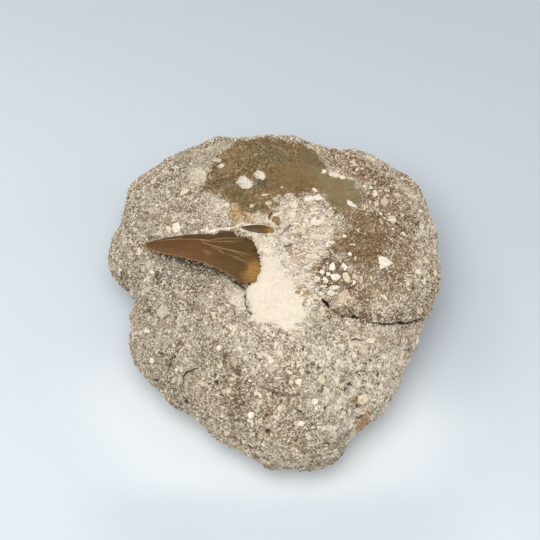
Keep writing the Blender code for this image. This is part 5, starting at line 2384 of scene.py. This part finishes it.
@dataclass
class Studio:
    """Pale floor, soft light and the camera."""

    view_elevation: float = 60.0
    view_distance: float = 600.0
    view_target: tuple[float, float, float] = (-1.5, -1.0, 45.0)
    frame_width: float = 209.5  # what the picture is wide at the target
    nearest_seen: float = 50.0
    floor_width: float = 16000.0
    sensor: float = 36.0
    lights: Sequence[tuple[str, tuple[float, float, float], float, float, Rgb]] = (
        ("overhead", (-120.0, -230.0, 950.0), 850.0, 6.2, (1.0, 0.985, 0.96)),
        ("low_left", (-900.0, 0.0, 350.0), 600.0, 1.7, (0.96, 0.98, 1.0)),
        ("low_right", (900.0, 0.0, 350.0), 600.0, 1.7, (0.96, 0.98, 1.0)),
    )
    lit: tuple[float, float, float] = (0.0, 0.0, 20.0)  # what the lights look at
    sky: Rgb = (1.0, 0.97, 0.91)
    sky_strength: float = 0.45

    def _aim(self, obj: bpy.types.Object, place: Sequence[float], target: Sequence[float]) -> None:
        """Put a light or the camera in the scene.

        Args:
            obj: The light or the camera.
            place: Where it stands, in millimetres.
            target: What it looks at.
        """
        obj.location = Vector(place) * MM
        way = Vector(target) - Vector(place)
        obj.rotation_euler = way.to_track_quat("-Z", "Y").to_euler()
        bpy.context.scene.collection.objects.link(obj)

    def floor(self) -> bpy.types.Object:
        """Lay the floor, which isn't part of the object.

        Returns:
            The floor's object.
        """
        ground = bmesh.new()
        bmesh.ops.create_grid(ground, x_segments=1, y_segments=1, size=self.floor_width / 2 * MM)
        mesh = bmesh_mesh("studio_floor", ground)
        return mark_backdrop(dress(add_object("studio_floor", mesh), FloorFinish().material()))

    def light(self) -> None:
        """Hang the lights and set the sky."""
        for name, place, width, power, colour in self.lights:
            lamp = bpy.data.lights.new(name, "AREA")
            lamp.shape = "DISK"
            lamp.size = width * MM
            lamp.energy = power
            lamp.color = colour
            self._aim(bpy.data.objects.new(name, lamp), place, self.lit)
        world = bpy.data.worlds.new("soft_sky")
        world.use_nodes = True
        background = world.node_tree.nodes["Background"]
        background.inputs["Color"].default_value = (*self.sky, 1.0)
        background.inputs["Strength"].default_value = self.sky_strength
        bpy.context.scene.world = world

    def camera(self) -> None:
        """Place the camera at the photograph's viewing angle."""
        rise = math.radians(self.view_elevation)
        back = Vector((0, -math.cos(rise), math.sin(rise))) * self.view_distance
        data = bpy.data.cameras.new("camera")
        data.sensor_width = self.sensor
        data.lens = self.sensor * self.view_distance / self.frame_width
        data.clip_start = self.nearest_seen * MM
        obj = bpy.data.objects.new("camera", data)
        self._aim(obj, Vector(self.view_target) + back, self.view_target)
        bpy.context.scene.camera = obj
        bpy.context.scene.view_settings.view_transform = "Standard"


@dataclass
class SandCover:
    """The sand, shell hash and chips that make the stone's skin."""

    finish: SandstoneFinish = field(default_factory=SandstoneFinish)
    crack_clearance: Span = (0.6, 1.1)  # distances from a crack over which the grains come in

    def _most(self, points: Array, softness: float, *names: str) -> Array:
        """How far points lie in the nearest of some zones, 0 outside to 1 inside."""
        return np.maximum.reduce([zone_share(name, points, softness) for name in names])

    def _share(self, points: Array) -> dict[str, Array]:
        """How densely each kind of piece lies.

        Args:
            points: The stone's points in millimetres, one a row.

        Returns:
            A share at each point for each kind.
        """
        x, y, z = points.T
        cream = np.maximum(zone_share("cream", points, 1.5), zone_share("neck", points))
        film = self._most(points, 2.0, "brown_film", "green_right")
        white = self._most(points, 1.0, "white_patch", "white_disc", "white_angle")
        smooth = np.maximum(zone_share("channel", points), 0.5 * zone_share("cheek", points))
        chalk = zone_share("chalk", points, 2.0)
        stained = self._most(points, 2.0, "brown_stain", "brown_deep")
        chunk = zone_share("lower_chunk", points)
        bare = (1 - cream) * (1 - 0.85 * film) * (1 - 0.8 * smooth) * (1 - white) * smooth_step(2.5, 6, z)
        sides = 0.4 + 0.6 * smooth_step(8, 22, z)
        pale = (1 - 0.6 * stained) * (1 - film)
        shelly = np.maximum(chalk, smooth_step(-22, -34, y) * smooth_step(-20, 5, x))
        return {
            "front": bare * sides * (y < 0) * (1 - 0.5 * chunk),
            "back": bare * sides * (y >= 0),
            "hash": bare * smooth_step(12, 22, z) * (0.6 + 0.4 * shelly) * pale * (1 - 0.4 * chunk),
            "chips": bare * smooth_step(12, 24, z) * (0.45 + 0.55 * shelly) * pale,
            "splinters": bare * chalk,
        }

    def build(self, stone: bpy.types.Object) -> list[bpy.types.Object]:
        """Throw every kind over the stone.

        Args:
            stone: The stone's object.

        Returns:
            The pieces.
        """
        points = mesh_points(stone.data)
        dark = np.empty(len(points), np.float32)
        stone.data.attributes["crack"].data.foreach_get("value", dark)
        clear = 1 - smooth_step(0.05, 0.4, dark)
        for crack in MatrixStone.cracks:
            distance = path_distance(points[:, 0], points[:, 1], crack.path)[0]
            clear *= smooth_step(*self.crack_clearance, distance)
        share = {kind: values * clear for kind, values in self._share(points).items()}
        sand, shell, flake = (
            finish.material(self.finish)
            for finish in (
                GrainFinish("loose_sand", 0.78, 1.2, 0.6, linear(240, 229, 210), 0.1),
                GrainFinish("broken_shell", 0.85, 1.1, 0.4, linear(240, 229, 209), 0.5, 0.7),
                GrainFinish("shell_flakes", 0.88, 1.04, 0.2, linear(240, 228, 207), 0.75, 0.4),
            )
        )
        crystal, plate = GrainShape.CRYSTAL, GrainShape.PLATE
        kinds = (
            ("front", sand, Scatter("sand_grains_front", crystal, 0.8, 0.5, 1.15, (0.5, 0.9), 0.12, 60, 11)),
            ("back", sand, Scatter("sand_grains_back", crystal, 0.8, 0.5, 1.15, (0.5, 0.9), 0.12, 60, 12)),
            ("hash", shell, Scatter(
                "shell_hash", plate, 1.7, 0.7, 1.9, (0.3, 0.5), 0.12, 25, 13, broken=0.18,
            )),
            ("chips", flake, Scatter(
                "shell_chips", plate, 3.4, 1.3, 3.8, (0.16, 0.26), 0.2, 14, 14, broken=0.2,
            )),
            ("splinters", flake, Scatter(
                "shell_splinters", plate, 1.9, 1.4, 3.6, (0.12, 0.25), 0.1, 16, 15, 0.22, 12.0,
            )),
        )
        return [kind.build(stone, share[where], material) for where, material, kind in kinds]


def main() -> None:
    """Build the stone, the tooth and the studio in order."""
    logging.basicConfig(level=logging.INFO, format="%(message)s")
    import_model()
    studio = Studio()
    studio.camera()
    studio.light()
    studio.floor()

    sandstone = SandstoneFinish()
    stone = dress(MatrixStone().build(), sandstone.material())
    for piece in SandCover(sandstone).build(stone):
        attach(piece, STONE_SLOT)
    attach(stone, STONE_SLOT, STONE_NODE)

    points = mesh_points(stone.data)
    triangles = [tuple(polygon.vertices) for polygon in stone.data.polygons]
    shells = BeddedShells().build(BVHTree.FromPolygons(points.tolist(), triangles))
    dress(shells, ShellFinish().material())
    attach(shells, STONE_SLOT)

    enamel = EnamelFinish("enamel").material()
    attach(dress(ToothCrown().build(), enamel), TOOTH_SLOT, TOOTH_NODE)
    attach(dress(SideCusp().build(), enamel), TOOTH_SLOT, TOOTH_NODE)
    attach(dress(ToothRoot().build(), RootFinish().material(sandstone)), TOOTH_SLOT, TOOTH_NODE)


if __name__ == "__main__":
    main()
